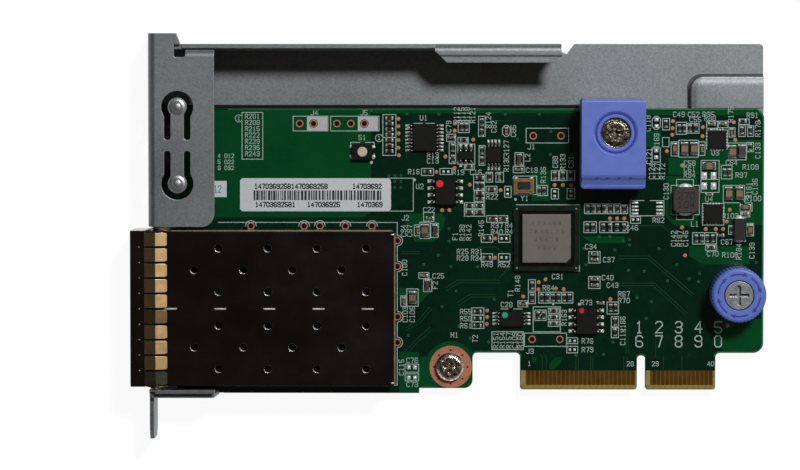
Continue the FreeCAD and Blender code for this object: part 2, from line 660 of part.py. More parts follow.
def bend_slots(body):
    """Slots across the bend between the tray and the faceplate, rounded on the faceplate."""
    slots = [(f"slot_first + {index} * slot_pitch", "slot_height", "slot_width") for index in range(4)]
    slots.append(("last_slot_place", "last_slot_height", "slot_width * 0.75"))
    sketch = new_sketch(body, "BendSlots", "YZ_Plane", "0 - 1")
    for centre, height, width in slots:
        near = f"0 - ({centre}) + {width} / 2"
        far = f"0 - ({centre}) - {width} / 2"
        outline(sketch, ((far, "0 - 1"), (near, "0 - 1"), (near, height, f"{width} * 0.42"),
                         (far, height, f"{width} * 0.42")))
    pocket(body, sketch, "1 + slot_reach", True)


def spring_tabs(body):
    """Two keyhole cut-outs in the flange, each with a round-headed spring tab left standing in it."""
    floor = "plate_height - sheet_gauge"
    for sign, name in (("+", "Upper"), ("-", "Lower")):
        head = f"0 - tab_middle {sign} tab_reach"
        root = f"0 - tab_middle {sign} tab_bridge / 2"
        overlap = f"{root} {'-' if sign == '+' else '+'} tab_bridge / 4"
        left = "tab_line - keyhole_width / 2"
        right = "tab_line + keyhole_width / 2"
        end_round = "(keyhole_width - tab_width) / 4.6"
        hole = new_sketch(body, f"{name}Keyhole", "XY_Plane", floor)
        circle(hole, "tab_line", head, "keyhole_radius")
        pocket(body, hole, "sheet_gauge", True)
        slot = new_sketch(body, f"{name}Slots", "XY_Plane", floor)
        outline(slot, ((left, head), (left, root, end_round), ("tab_line - tab_width / 2", root, end_round),
                       ("tab_line - tab_width / 2", head)))
        outline(slot, (("tab_line + tab_width / 2", head), ("tab_line + tab_width / 2", root, end_round),
                       (right, root, end_round), (right, head)))
        pocket(body, slot, "sheet_gauge", True)
        tab = new_sketch(body, f"{name}Tab", "XY_Plane", floor)
        outline(tab, (("tab_line - tab_width / 2", overlap), ("tab_line + tab_width / 2", overlap),
                      ("tab_line + tab_width / 2", head), ("tab_line - tab_width / 2", head)))
        pad(body, tab, "sheet_gauge")
        disc = new_sketch(body, f"{name}Head", "XY_Plane", floor)
        circle(disc, "tab_line", head, "tab_head")
        pad(body, disc, "sheet_gauge")
        dimple = new_sketch(body, f"{name}Dimple", "XY_Plane", "plate_height")
        circle(dimple, "tab_line", head, "tab_dimple")
        pad(body, dimple, "tab_dimple / 3")
        crown = val("plate_height + tab_dimple / 3")
        fillet(body, "tab_dimple / 4", lambda edge: is_ring(edge, crown, val("tab_dimple")))


def is_ring(edge, height, radius):
    """Whether an edge is a level circle of that radius at that height."""
    if edge.Curve.TypeId != "Part::GeomCircle":
        return False
    return abs(edge.Curve.Center.z - height) < NEAR and abs(edge.Curve.Radius - radius) < NEAR


def embossed_pad(body):
    """A raised pad in the tray: pushed up from below, so the sheet keeps its thickness."""
    rise = new_sketch(body, "PadRise", "XY_Plane", "sheet_gauge")
    outline(rise, (("boss_start", "0 - boss_bottom", "boss_corner"), ("tray_length", "0 - boss_bottom"),
                   ("tray_length", "0 - boss_top"), ("boss_start", "0 - boss_top", "boss_corner")))
    pad(body, rise, "boss_rise")
    top = val("sheet_gauge + boss_rise")
    reach = val("tray_length")

    def shoulder(edge):
        level = all(abs(vertex.Point.z - top) < NEAR for vertex in edge.Vertexes)
        return level and edge.CenterOfMass.x < reach - NEAR
    fillet(body, "boss_round", shoulder)
    hollow = new_sketch(body, "PadHollow", "XY_Plane")
    inner = "boss_corner - sheet_gauge"
    outline(hollow, (("boss_start + sheet_gauge", "0 - (boss_bottom - sheet_gauge)", inner),
                     ("tray_length + 1", "0 - (boss_bottom - sheet_gauge)"),
                     ("tray_length + 1", "0 - (boss_top + sheet_gauge)"),
                     ("boss_start + sheet_gauge", "0 - (boss_top + sheet_gauge)", inner)))
    pocket(body, hollow, "boss_rise", True)


def standoff_holes(body):
    """Round holes for the two clinched standoffs and the thumbscrew's ferrule."""
    sketch = new_sketch(body, "StandoffHoles", "XY_Plane", "0 - 1")
    circle(sketch, "block_hole_x", "0 - block_hole_y", "standoff_stem + press_gap")
    circle(sketch, "board_hole_x", "0 - board_hole_y", "standoff_stem + press_gap")
    circle(sketch, "knob_x", "0 - knob_y", "ferrule_stem + press_gap")
    pocket(body, sketch, "plate_height / 2", True)


# ---------------------------------------------------------------- film and board
def insulating_film():
    body = new_body("insulator_film")
    sketch = new_sketch(body, "FilmPlan", "XY_Plane", "sheet_gauge")
    rectangle(sketch, "film_start", "0 - film_bottom", "film_end", "0 - film_top")
    pad(body, sketch, "film_gauge")
    place(body, "insulator_film")


HEADER_PITCH = 2.54
HEADER_GROUPS = ((27.2, 14.65, 2, HEADER_PITCH), (34.05, 14.65, 3, HEADER_PITCH),
                 (70.15, 16.85, 2, 2 * HEADER_PITCH), (70.0, 54.5, 2, 2 * HEADER_PITCH))
HEADER_HOLE = 0.5
SIDE_LEGS = (9.0, 17.0, 28.1, 30.9, 35.6, 40.5)
REAR_LEGS = (2.0, 6.9, 16.1, 20.9)


def leg_places():
    """The cage's legs: centre of each and whether it stands in a side wall."""
    upper = val("0 - cage_top_edge - cage_gauge / 2")
    lower = val(f"0 - {CAGE_BOTTOM_EDGE} + cage_gauge / 2")
    rear = val("cage_length - cage_nose - cage_gauge / 2")
    places = [(along, side, True) for along in SIDE_LEGS for side in (upper, lower)]
    places += [(rear, val("0 - cage_top_edge") - down, False) for down in REAR_LEGS]
    return places


def circuit_board():
    body = new_body("circuit_board")
    plan = new_sketch(body, "BoardPlan", "XY_Plane", BOARD_LOW)
    key_end = "tab_one_end + key_width"
    outline(plan, (("board_start", "0 - board_top"), ("board_start", "0 - board_inset_drop"),
                   ("board_inset_end", "0 - board_inset_drop"), ("board_inset_end", "0 - board_drop_ports"),
                   ("board_step", "0 - board_drop_ports"), ("board_step", "0 - board_drop_lobe"),
                   ("board_lobe_end", "0 - board_drop_lobe"), ("board_lobe_end", "0 - notch_drop"),
                   ("tab_one_start", "0 - notch_drop"), ("tab_one_start", "0 - tab_drop"),
                   ("tab_one_end", "0 - tab_drop"), ("tab_one_end", "0 - key_drop"), (key_end, "0 - key_drop"),
                   (key_end, "0 - tab_drop"), ("tab_two_end", "0 - tab_drop"),
                   ("tab_two_end", "0 - notch_drop"), ("board_end", "0 - notch_drop"),
                   ("board_end", "0 - board_top")))
    pad(body, plan, "board_gauge")
    fillet(body, "board_corner", edge_at(2, ("board_end", "0 - board_top"), ("board_end", "0 - notch_drop")))
    fillet(body, "notch_corner * 1.8", edge_at(2, ("board_lobe_end", "0 - board_drop_lobe")))
    fillet(body, "notch_corner", edge_at(2, ("board_lobe_end", "0 - notch_drop"),
                                         ("tab_one_start", "0 - notch_drop"), ("tab_two_end", "0 - notch_drop")))
    fillet(body, "key_width * 0.45", edge_at(2, ("tab_one_end", "0 - key_drop"), (key_end, "0 - key_drop")))
    fillet(body, "notch_corner * 0.6", edge_at(2, ("tab_one_start", "0 - tab_drop"),
                                               ("tab_one_end", "0 - tab_drop"), (key_end, "0 - tab_drop"),
                                               ("tab_two_end", "0 - tab_drop")))
    tab_low = BOARD_LOW
    tab_high = BOARD_HIGH
    chamfer(body, "board_gauge / 5", edge_at(0, ("0 - tab_drop", tab_low), ("0 - tab_drop", tab_high)))
    drills = new_sketch(body, "ScrewHoles", "XY_Plane", BOARD_LOW)
    circle(drills, "block_hole_x", "0 - block_hole_y", "screw_radius + screw_clearance")
    circle(drills, "board_hole_x", "0 - board_hole_y", "screw_radius + screw_clearance")
    circle(drills, "knob_x", "0 - knob_y", "ferrule_radius + screw_clearance")
    pocket(body, drills, "board_gauge", True)
    small = new_sketch(body, "PlatedHoles", "XY_Plane", BOARD_LOW)
    for along, down, count, pitch in HEADER_GROUPS:
        for index in range(count):
            circle(small, str(along + index * pitch), str(-down), str(HEADER_HOLE))
    for along, across, _ in leg_places():
        circle(small, str(round(along, 4)), str(round(across, 4)), "leg_hole")
    pocket(body, small, "board_gauge", True)
    place(body, "circuit_board")


def edge_contacts():
    """Gold contacts on both faces of the two tabs."""
    width = val("contact_width")
    length = val("contact_length")
    gauge = val("contact_gauge")
    pitch = val("contact_pitch")
    low = val("0 - tab_drop + contact_inset")
    faces = (val(BOARD_HIGH), val(BOARD_LOW) - gauge)
    spans = ((val("tab_one_start"), val("tab_one_end")), (val("tab_one_end + key_width"), val("tab_two_end")))
    solids = []
    for start, end in spans:
        count = int((end - start - 2 * width) / pitch)
        first = (start + end - count * pitch) / 2
        for index in range(count + 1):
            for face in faces:
                corner = Vector(first + index * pitch - width / 2, low, face)
                solids.append(Part.makeBox(width, length, gauge, corner))
    group("edge_contacts", solids)


# ---------------------------------------------------------------- cage and its connectors
def cage_shell():
    body = new_body("cage_shell")
    top = "0 - cage_top_edge"
    bottom = f"0 - {CAGE_BOTTOM_EDGE}"
    nose = "0 - cage_nose"
    rear = "cage_length - cage_nose"
    outer = new_sketch(body, "CagePlan", "XY_Plane", BOARD_HIGH)
    rectangle(outer, nose, bottom, rear, top)
    pad(body, outer, "cage_height")
    inner = new_sketch(body, "CageInside", "YZ_Plane", nose)
    rectangle(inner, f"{bottom} + cage_gauge", f"{BOARD_HIGH} + cage_gauge", f"{top} - cage_gauge",
              f"{CAGE_ROOF} - cage_gauge")
    pocket(body, inner, "cage_length - cage_gauge", True)
    floor = new_sketch(body, "CageFloorOpening", "XY_Plane", BOARD_HIGH)
    rectangle(floor, "cage_floor_end", f"{bottom} + cage_gauge", f"{rear} - cage_gauge", f"{top} - cage_gauge")
    pocket(body, floor, "cage_gauge", True)
    holes = new_sketch(body, "CageVents", "XY_Plane", f"{CAGE_ROOF} - cage_gauge")
    columns = 4
    for quarter in ("1", "3"):
        centre = f"{top} - {quarter} * cage_width / 4"
        for column in range(columns):
            along = f"cage_vent_first + {column} * cage_vent_pitch"
            circle(holes, along, f"{centre} + cage_vent_side", "cage_vent")
            circle(holes, along, f"{centre} - cage_vent_side", "cage_vent")
            circle(holes, f"{along} - cage_vent_pitch / 2", centre, "cage_vent")
    pocket(body, holes, "cage_gauge", True)
    slits = new_sketch(body, "DividerSlits", "XY_Plane", f"{CAGE_ROOF} - cage_gauge")
    for column in range(columns + 1):
        along = f"slit_first + {column} * cage_vent_pitch"
        rectangle(slits, f"{along} - slit_length / 2", f"0 - {CAGE_MIDDLE} - slit_width / 2",
                  f"{along} + slit_length / 2", f"0 - {CAGE_MIDDLE} + slit_width / 2")
    pocket(body, slits, "cage_gauge", True)
    legs = new_sketch(body, "CageLegs", "XY_Plane", f"{BOARD_HIGH} - leg_length")
    half = "leg_width / 2"
    for along in SIDE_LEGS:
        rectangle(legs, f"{along} - {half}", f"{top} - cage_gauge", f"{along} + {half}", top)
        rectangle(legs, f"{along} - {half}", bottom, f"{along} + {half}", f"{bottom} + cage_gauge")
    for down in REAR_LEGS:
        rectangle(legs, f"{rear} - cage_gauge", f"{top} - {down} - {half}", rear, f"{top} - {down} + {half}")
    pad(body, legs, "leg_length + cage_gauge")
    place(body, "cage_shell")


def cage_divider():
    """The sheet between the two ports, with tabs that stand in the roof's slits."""
    body = new_body("cage_divider")
    face = new_sketch(body, "DividerFace", "XZ_Plane", f"{CAGE_MIDDLE} - cage_gauge / 2")
    rectangle(face, "cage_gauge - cage_nose", f"{BOARD_HIGH} + cage_gauge", "cage_length - cage_nose - cage_gauge",
              f"{CAGE_ROOF} - cage_gauge")
    pad(body, face, "cage_gauge")
    tabs = new_sketch(body, "DividerTabs", "XZ_Plane", f"{CAGE_MIDDLE} - cage_gauge / 2")
    for column in range(5):
        along = f"slit_first + {column} * cage_vent_pitch"
        half = "(slit_length / 2 - 0.15)"
        rectangle(tabs, f"{along} - {half}", f"{CAGE_ROOF} - cage_gauge * 2", f"{along} + {half}",
                  f"{CAGE_ROOF} + cage_gauge / 2")
    pad(body, tabs, "cage_gauge")
    floor_gap = new_sketch(body, "DividerFoot", "XZ_Plane", f"{CAGE_MIDDLE} - cage_gauge / 2")
    rectangle(floor_gap, "cage_floor_end", BOARD_HIGH, "cage_length - cage_nose - cage_gauge",
              f"{BOARD_HIGH} + cage_gauge * 2")
    pad(body, floor_gap, "cage_gauge")
    place(body, "cage_divider")


def finger_profile(sketch, base, sign):
    """One spring finger seen from its edge: from the collar up to the ridge and back down."""
    low = f"{base}"
    high = f"{base} {sign} collar_gauge"
    crest = f"{base} {sign} (finger_rise + collar_gauge)"
    crest_low = f"{base} {sign} finger_rise"
    start = "collar_reach - cage_nose - 0.1"
    corners = ((start, low), ("finger_ridge", crest_low), ("finger_end", f"{base} {sign} 0.02"),
               ("finger_end", high), ("finger_ridge", crest), (start, high))
    outline(sketch, corners)


def pattern(body, feature, axis, length, count):
    """Repeats a feature of the body in a row."""
    row = body.newObject("PartDesign::LinearPattern", "Row")
    row.Originals = [feature]
    row.Direction = (plane_of(body, axis), [""])
    row.setExpression("Length", bound(length))
    row.Occurrences = count
    body.Tip = row
    return row


def spring_collar():
    """The collar round the cage's nose with its contact fingers."""
    body = new_body("spring_collar")
    top = "0 - cage_top_edge"
    bottom = f"0 - {CAGE_BOTTOM_EDGE}"
    ring = new_sketch(body, "Collar", "YZ_Plane", "0 - cage_nose")
    rectangle(ring, f"{bottom} - collar_gauge", f"{BOARD_HIGH} - collar_gauge", f"{top} + collar_gauge",
              f"{CAGE_ROOF} + collar_gauge")
    rectangle(ring, bottom, BOARD_HIGH, top, CAGE_ROOF)
    pad(body, ring, "collar_reach")
    fingers = 10
    first_edge = f"{CAGE_MIDDLE} + {(fingers - 1) / 2} * finger_pitch + finger_width / 2"
    for base, sign in ((CAGE_ROOF, "+"), (BOARD_HIGH, "-")):
        sketch = new_sketch(body, "Finger", "XZ_Plane", f"{first_edge} - finger_width")
        finger_profile(sketch, base, sign)
        feature = pad(body, sketch, "finger_width")
        doc.recompute()
        pattern(body, feature, "Y_Axis", f"{fingers - 1} * finger_pitch", fingers)
        doc.recompute()
    side_fingers = 3
    low_edge = f"{BOARD_HIGH} + cage_height / 2 - {(side_fingers - 1) / 2} * finger_pitch - finger_width / 2"
    for base, sign in ((top, "+"), (bottom, "-")):
        sketch = new_sketch(body, "SideFinger", "XY_Plane", low_edge)
        finger_profile(sketch, base, sign)
        feature = pad(body, sketch, "finger_width")
        doc.recompute()
        pattern(body, feature, "Z_Axis", f"{side_fingers - 1} * finger_pitch", side_fingers)
        doc.recompute()
    place(body, "spring_collar")


def port_middle(port):
    """Centre line of a port below the long wall, counted from the upper one."""
    return f"(cage_top_edge + {2 * port + 1} * cage_width / 4)"


def module_connectors():
    """The two moulded connectors that the modules' boards plug into."""
    for port, label in enumerate(("module_connector_upper", "module_connector_lower")):
        middle = port_middle(port)
        body = new_body(label)
        plan = new_sketch(body, "ConnectorPlan", "XY_Plane", BOARD_HIGH)
        rectangle(plan, "socket_start", f"0 - {middle} - socket_width / 2", "socket_start + socket_length",
                  f"0 - {middle} + socket_width / 2")
        pad(body, plan, "socket_height")
        mouth = new_sketch(body, "ConnectorSlot", "YZ_Plane", "socket_start")
        centre = f"{BOARD_HIGH} + socket_slot_place"
        rectangle(mouth, f"0 - {middle} - socket_slot_width / 2", f"{centre} - socket_slot_height / 2",
                  f"0 - {middle} + socket_slot_width / 2", f"{centre} + socket_slot_height / 2")
        pocket(body, mouth, "socket_slot_depth", True)
        chamfer(body, "socket_slot_height / 2",
                edge_at(1, ("socket_start", f"{BOARD_HIGH} + socket_height")))
        place(body, label)


def connector_contacts():
    """Contacts in the connectors' slots and their soldered tails behind."""
    count = 10
    pitch = 0.8
    width = 0.35
    gauge = 0.12
    solids = []
    start = val("socket_start")
    board = val(BOARD_HIGH)
    slot_low = val(f"{BOARD_HIGH} + socket_slot_place - socket_slot_height / 2")
    slot_high = val(f"{BOARD_HIGH} + socket_slot_place + socket_slot_height / 2")
    rear = val("socket_start + socket_length")
    inset = 0.6
    tail = 1.2
    beam = val("socket_slot_depth") - 2 * inset
    for port in range(2):
        middle = -val(port_middle(port))
        for index in range(count):
            across = middle + (index - (count - 1) / 2) * pitch - width / 2
            solids.append(Part.makeBox(beam, width, gauge, Vector(start + inset, across, slot_low)))
            solids.append(Part.makeBox(beam, width, gauge, Vector(start + inset, across, slot_high - gauge)))
            solids.append(Part.makeBox(tail, width, gauge, Vector(rear, across, board)))
    group("connector_contacts", solids)


# ---------------------------------------------------------------- processor
def processor():
    seat = f"({BOARD_HIGH} + ball_height)"
    substrate = doc.addObject("Part::Box", "phy_substrate")
    substrate.setExpression("Length", bound("phy_side"))
    substrate.setExpression("Width", bound("phy_side"))
    substrate.setExpression("Height", bound("phy_gauge"))
    place(substrate, "phy_substrate")
    substrate.setExpression("Placement.Base.x", bound(f"phy_x - phy_side / 2 - {MIDDLE_X}"))
    substrate.setExpression("Placement.Base.y", bound(f"0 - phy_y - phy_side / 2 - {MIDDLE_Y}"))
    substrate.setExpression("Placement.Base.z", bound(seat))

    body = new_body("phy_lid")
    plan = new_sketch(body, "LidPlan", "XY_Plane", f"{seat} + phy_gauge")
    half = "phy_lid_side / 2"
    outline(plan, ((f"phy_x - {half}", f"0 - phy_y - {half}"),
                   (f"phy_x + {half} - phy_lid_bevel", f"0 - phy_y - {half}"),
                   (f"phy_x + {half}", f"0 - phy_y - {half} + phy_lid_bevel"),
                   (f"phy_x + {half}", f"0 - phy_y + {half}"), (f"phy_x - {half}", f"0 - phy_y + {half}")))
    pad(body, plan, "phy_lid_height")
    top = val(f"{seat} + phy_gauge + phy_lid_height")

    def rim(edge):
        return all(abs(vertex.Point.z - top) < NEAR for vertex in edge.Vertexes)
    fillet(body, "phy_lid_height / 4", rim)
    place(body, "phy_lid")

    # the outer ring of solder balls, which closes the gap under the substrate
    span = int(val("phy_side") / val("ball_pitch")) - 1
    pitch = val("ball_pitch")
    board = val(BOARD_HIGH)
    solids = []
    for column in range(span + 1):
        for line in range(span + 1):
            if column in (0, span) or line in (0, span):
                centre = Vector(val("phy_x") + (column - span / 2) * pitch,
                                -val("phy_y") + (line - span / 2) * pitch, board)
                solids.append(Part.makeCylinder(val("ball_radius"), val("ball_height"), centre))
    group("phy_solder_balls", solids)


# ---------------------------------------------------------------- chips with leads
# Each chip: name, centre along and below the wall, body along and across the card, body height,
# leads a side, their pitch, and whether the leads leave the body's ends along the card.
CHIPS = (
    ("expander_chip", 50.16, 17.27, 4.4, 5.0, 1.05, 8, 0.65, True),
    ("memory_chip", 54.0, 27.17, 3.9, 4.9, 1.5, 4, 1.27, True),
    ("supervisor_chip", 62.9, 20.4, 3.0, 3.0, 0.95, 4, 0.65, False),
    ("logic_chip", 57.78, 20.5, 2.9, 1.6, 1.05, 3, 0.95, False),
    ("sensor_chip", 66.2, 50.56, 4.4, 3.0, 1.05, 4, 0.65, True),
    ("controller_chip", 79.98, 50.97, 3.9, 4.9, 1.5, 4, 1.27, True),
)
FLAT_CHIPS = (
    ("regulator_chip_upper", 103.88, 17.57, 3.5, 3.5, 0.85),
    ("regulator_chip_lower", 103.26, 31.25, 3.6, 3.6, 0.85),
)
LEAD_REACH = 1.0
LEAD_FOOT = 0.5


def moulded_chip(label, along, down, length, width, height, seat):
    """A moulded body whose four sides lean in towards the top."""
    chip = doc.addObject("Part::Wedge", label)
    draft = "body_draft"
    sizes = {"Xmin": "0", "Zmin": "0", "Ymin": "0", "X2min": draft, "Z2min": draft, "Xmax": str(length),
             "Zmax": str(width), "Ymax": str(height), "X2max": f"{length} - {draft}",
             "Z2max": f"{width} - {draft}"}
    for name, text in sizes.items():
        chip.setExpression(name, bound(text))
    chip.Placement.Rotation = FreeCAD.Rotation(Vector(1, 0, 0), 90)
    place(chip, label)
    chip.setExpression("Placement.Base.x", bound(f"{along} - {length} / 2 - {MIDDLE_X}"))
    chip.setExpression("Placement.Base.y", bound(f"{width} / 2 - {down} - {MIDDLE_Y}"))
    chip.setExpression("Placement.Base.z", bound(f"{BOARD_HIGH} + {seat}"))


def gull_wing(start, shoulder, width, across, flip, turned, centre):
    """One lead: out of the body, down and along the board."""
    gauge = val("lead_gauge")
    board = val(BOARD_HIGH)
    knee = start + (LEAD_REACH - LEAD_FOOT) / 2
    drop = start + (LEAD_REACH - LEAD_FOOT)
    end = start + LEAD_REACH
    profile = ((start, shoulder), (knee + gauge / 2, shoulder), (drop + gauge / 2, board + gauge),
               (end, board + gauge), (end, board), (drop - gauge / 2, board),
               (knee - gauge / 2, shoulder - gauge), (start, shoulder - gauge))
    points = [Vector(flip * reach, across - width / 2, level) for reach, level in profile]
    face = Part.Face(Part.makePolygon(points + points[:1]))
    lead = face.extrude(Vector(0, width, 0))
    if turned:
        lead.rotate(Vector(0, 0, 0), Vector(0, 0, 1), 90)
    lead.translate(centre)
    return lead


def chips():
    leads = []
    board = val(BOARD_HIGH)
    draft = val("body_draft")
    for label, along, down, length, width, height, count, pitch, endways in CHIPS:
        moulded_chip(label, along, down, length, width, height, "seat_gap")
        span = length if endways else width
        shoulder_rise = height / 2
        lean = draft * shoulder_rise / height
        for flip in (1, -1):
            for index in range(count):
                across = (index - (count - 1) / 2) * pitch
                leads.append(gull_wing(span / 2 - lean * 0.5, board + val("seat_gap") + shoulder_rise,
                                       pitch * 0.4, across, flip, not endways, Vector(along, -down, 0)))
    doc.recompute()
    names = [chip[0] for chip in CHIPS]
    bodies = [piece.Shape.copy() for piece in SUB_PARTS if piece.Label in names]
    shift = Vector(val(MIDDLE_X), val(MIDDLE_Y), 0)
    for solid in bodies:
        solid.translate(shift)
    trimmed = []
    for lead in leads:
        trimmed.append(lead.cut(bodies).Solids[0])
    group("chip_leads", trimmed)
    for label, along, down, length, width, height in FLAT_CHIPS:
        moulded_chip(label, along, down, length, width, height, "0")


# ---------------------------------------------------------------- larger components
COIL_PLACE = (98.12, 28.6)
CRYSTAL_PLACE = (68.45, 26.06)
TANTALUM_PLACE = (108.14, 34.0)
TERMINAL_GAUGE = 0.12


def block_at(label, place_xy, length, width, base, height):
    """A plain block centred on a place of the board."""
    box = doc.addObject("Part::Box", label)
    box.setExpression("Length", bound(length))
    box.setExpression("Width", bound(width))
    box.setExpression("Height", bound(height))
    place(box, label)
    along, down = place_xy
    box.setExpression("Placement.Base.x", bound(f"{along} - ({length}) / 2 - {MIDDLE_X}"))
    box.setExpression("Placement.Base.y", bound(f"0 - {down} - ({width}) / 2 - {MIDDLE_Y}"))
    box.setExpression("Placement.Base.z", bound(base))
    return box


def straps(label, place_xy, length, width, reach, rise, board, axis):
    """A pair of bent terminals: a foot under each end and a strap up the end face."""
    solids = []
    along, down = place_xy
    for flip in (1, -1):
        foot = Part.makeBox(reach, width, TERMINAL_GAUGE, Vector(length / 2 - reach, -width / 2, board))
        strap = Part.makeBox(TERMINAL_GAUGE, width, rise, Vector(length / 2, -width / 2, board))
        bent = foot.fuse(strap).removeSplitter()
        bent.rotate(Vector(0, 0, 0), Vector(0, 0, 1), axis + (0 if flip > 0 else 180))
        bent.translate(Vector(along, -down, 0))
        solids.append(bent)
    group(label, solids)


def larger_components():
    board = val(BOARD_HIGH)
    body = new_body("power_inductor")
    along, down = COIL_PLACE
    plan = new_sketch(body, "CoilPlan", "XY_Plane", f"{BOARD_HIGH} + {TERMINAL_GAUGE}")
    half = "coil_side / 2"
    rectangle(plan, f"{along} - {half}", f"0 - {down} - {half}", f"{along} + {half}", f"{half} - {down}")
    pad(body, plan, "coil_height")
    chamfer(body, "coil_bevel", lambda edge: runs_along(edge, 2))
    top = val(f"{BOARD_HIGH} + {TERMINAL_GAUGE} + coil_height")
    fillet(body, "coil_bevel / 3", lambda edge: all(abs(v.Point.z - top) < NEAR for v in edge.Vertexes))
    place(body, "power_inductor")
    straps("inductor_terminals", COIL_PLACE, val("coil_side"), val("coil_side") * 0.5, 1.0, 1.4, board, 90)

    block_at("oscillator_base", CRYSTAL_PLACE, "crystal_length", "crystal_width", BOARD_HIGH, "crystal_height")
    block_at("oscillator_lid", CRYSTAL_PLACE, "crystal_length - 2 * crystal_rim",
             "crystal_width - 2 * crystal_rim", f"{BOARD_HIGH} + crystal_height", "crystal_rim / 2")
    block_at("tantalum_capacitor", TANTALUM_PLACE, "tantalum_width", "tantalum_length",
             f"{BOARD_HIGH} + {TERMINAL_GAUGE}", "tantalum_height")
    straps("tantalum_terminals", TANTALUM_PLACE, val("tantalum_length"), val("tantalum_width") * 0.7,
           0.7, 0.9, board, 90)


# ---------------------------------------------------------------- push switch
def push_switch():
    body = new_body("switch_case")
    plan = new_sketch(body, "SwitchPlan", "XY_Plane", BOARD_HIGH)
    rectangle(plan, "switch_x - switch_length / 2", "0 - switch_y - switch_width / 2",
              "switch_x + switch_length / 2", "switch_width / 2 - switch_y")
    pad(body, plan, "switch_height")
    bore = new_sketch(body, "SwitchBore", "XY_Plane", f"{BOARD_HIGH} + switch_height - button_travel * 3")
    circle(bore, "switch_x", "0 - switch_y", "button_radius + button_gap")
    pocket(body, bore, "button_travel * 3", True)
    place(body, "switch_case")
    button = new_body("switch_button")
    face = new_sketch(button, "ButtonFace", "XY_Plane", f"{BOARD_HIGH} + switch_height - button_travel * 1.5")
    circle(face, "switch_x", "0 - switch_y", "button_radius")
    pad(button, face, "button_rise + button_travel * 1.5")
    top = val(f"{BOARD_HIGH} + switch_height + button_rise")
    fillet(button, "button_radius / 5", lambda edge: is_ring(edge, top, val("button_radius")))
    place(button, "switch_button")
    solids = []
    width = 0.5
    for flip in (1, -1):
        for side in (1, -1):
            near = val("switch_x") + flip * val("switch_length") / 2
            corner = Vector(min(near, near + flip * 0.5), -val("switch_y") + side * 0.9 - width / 2, val(BOARD_HIGH))
            solids.append(Part.makeBox(0.5, width, TERMINAL_GAUGE, corner))
    group("switch_terminals", solids)


# ---------------------------------------------------------------- screws, standoffs and block
def cross_recess(body, across, along, top, reach, depth):
    """A cross cut into a screw head."""
    cross = new_sketch(body, "CrossRecess", "XY_Plane", f"{top} - {depth}")
    arm = "recess_width / 2"
    corners = []
    for turn in range(4):
        angle = math.radians(90 * turn)
        for out, side in ((reach, f"0 - {arm}"), (reach, arm), (arm, arm)):
            cosine = round(math.cos(angle))
            sine = round(math.sin(angle))
            corners.append((f"{across} + ({out}) * {cosine} - ({side}) * {sine}",
                            f"{along} + ({out}) * {sine} + ({side}) * {cosine}"))
    outline(cross, corners)
    pocket(body, cross, depth, True)


def pan_screw(label, across, along, seat, tip):
    """A pan-head screw: domed head on its seat and a plain shank down to its tip."""
    body = new_body(label)
    shank = new_sketch(body, "Shank", "XY_Plane", tip)
    circle(shank, across, along, "screw_radius - 0.05")
    pad(body, shank, f"{seat} - ({tip}) + screw_head_height / 4")
    head = new_sketch(body, "Head", "XY_Plane", seat)
    circle(head, across, along, "screw_head_radius")
    pad(body, head, "screw_head_height")
    top = val(f"{seat} + screw_head_height")
    fillet(body, "screw_head_height * 0.55", lambda edge: is_ring(edge, top, val("screw_head_radius")))
    chamfer(body, "screw_radius / 5", lambda edge: is_ring(edge, val(tip), val("screw_radius - 0.05")))
    cross_recess(body, across, along, f"{seat} + screw_head_height", "recess_reach", "recess_depth")
    place(body, label)


def standoff(label, across, along):
    """A threaded standoff clinched into the tray, with the board resting on its shoulder."""
    body = new_body(label)
    stem = new_sketch(body, "Stem", "XY_Plane")
    circle(stem, across, along, "standoff_stem")
    pad(body, stem, f"{BOARD_LOW} - 0.1")
    shoulder = new_sketch(body, "Shoulder", "XY_Plane", "sheet_gauge")
    circle(shoulder, across, along, "standoff_radius")
    pad(body, shoulder, "boss_rise")
    thread = new_sketch(body, "Thread", "XY_Plane")
    circle(thread, across, along, "screw_radius")
    pocket(body, thread, "plate_height", True)
    place(body, label)


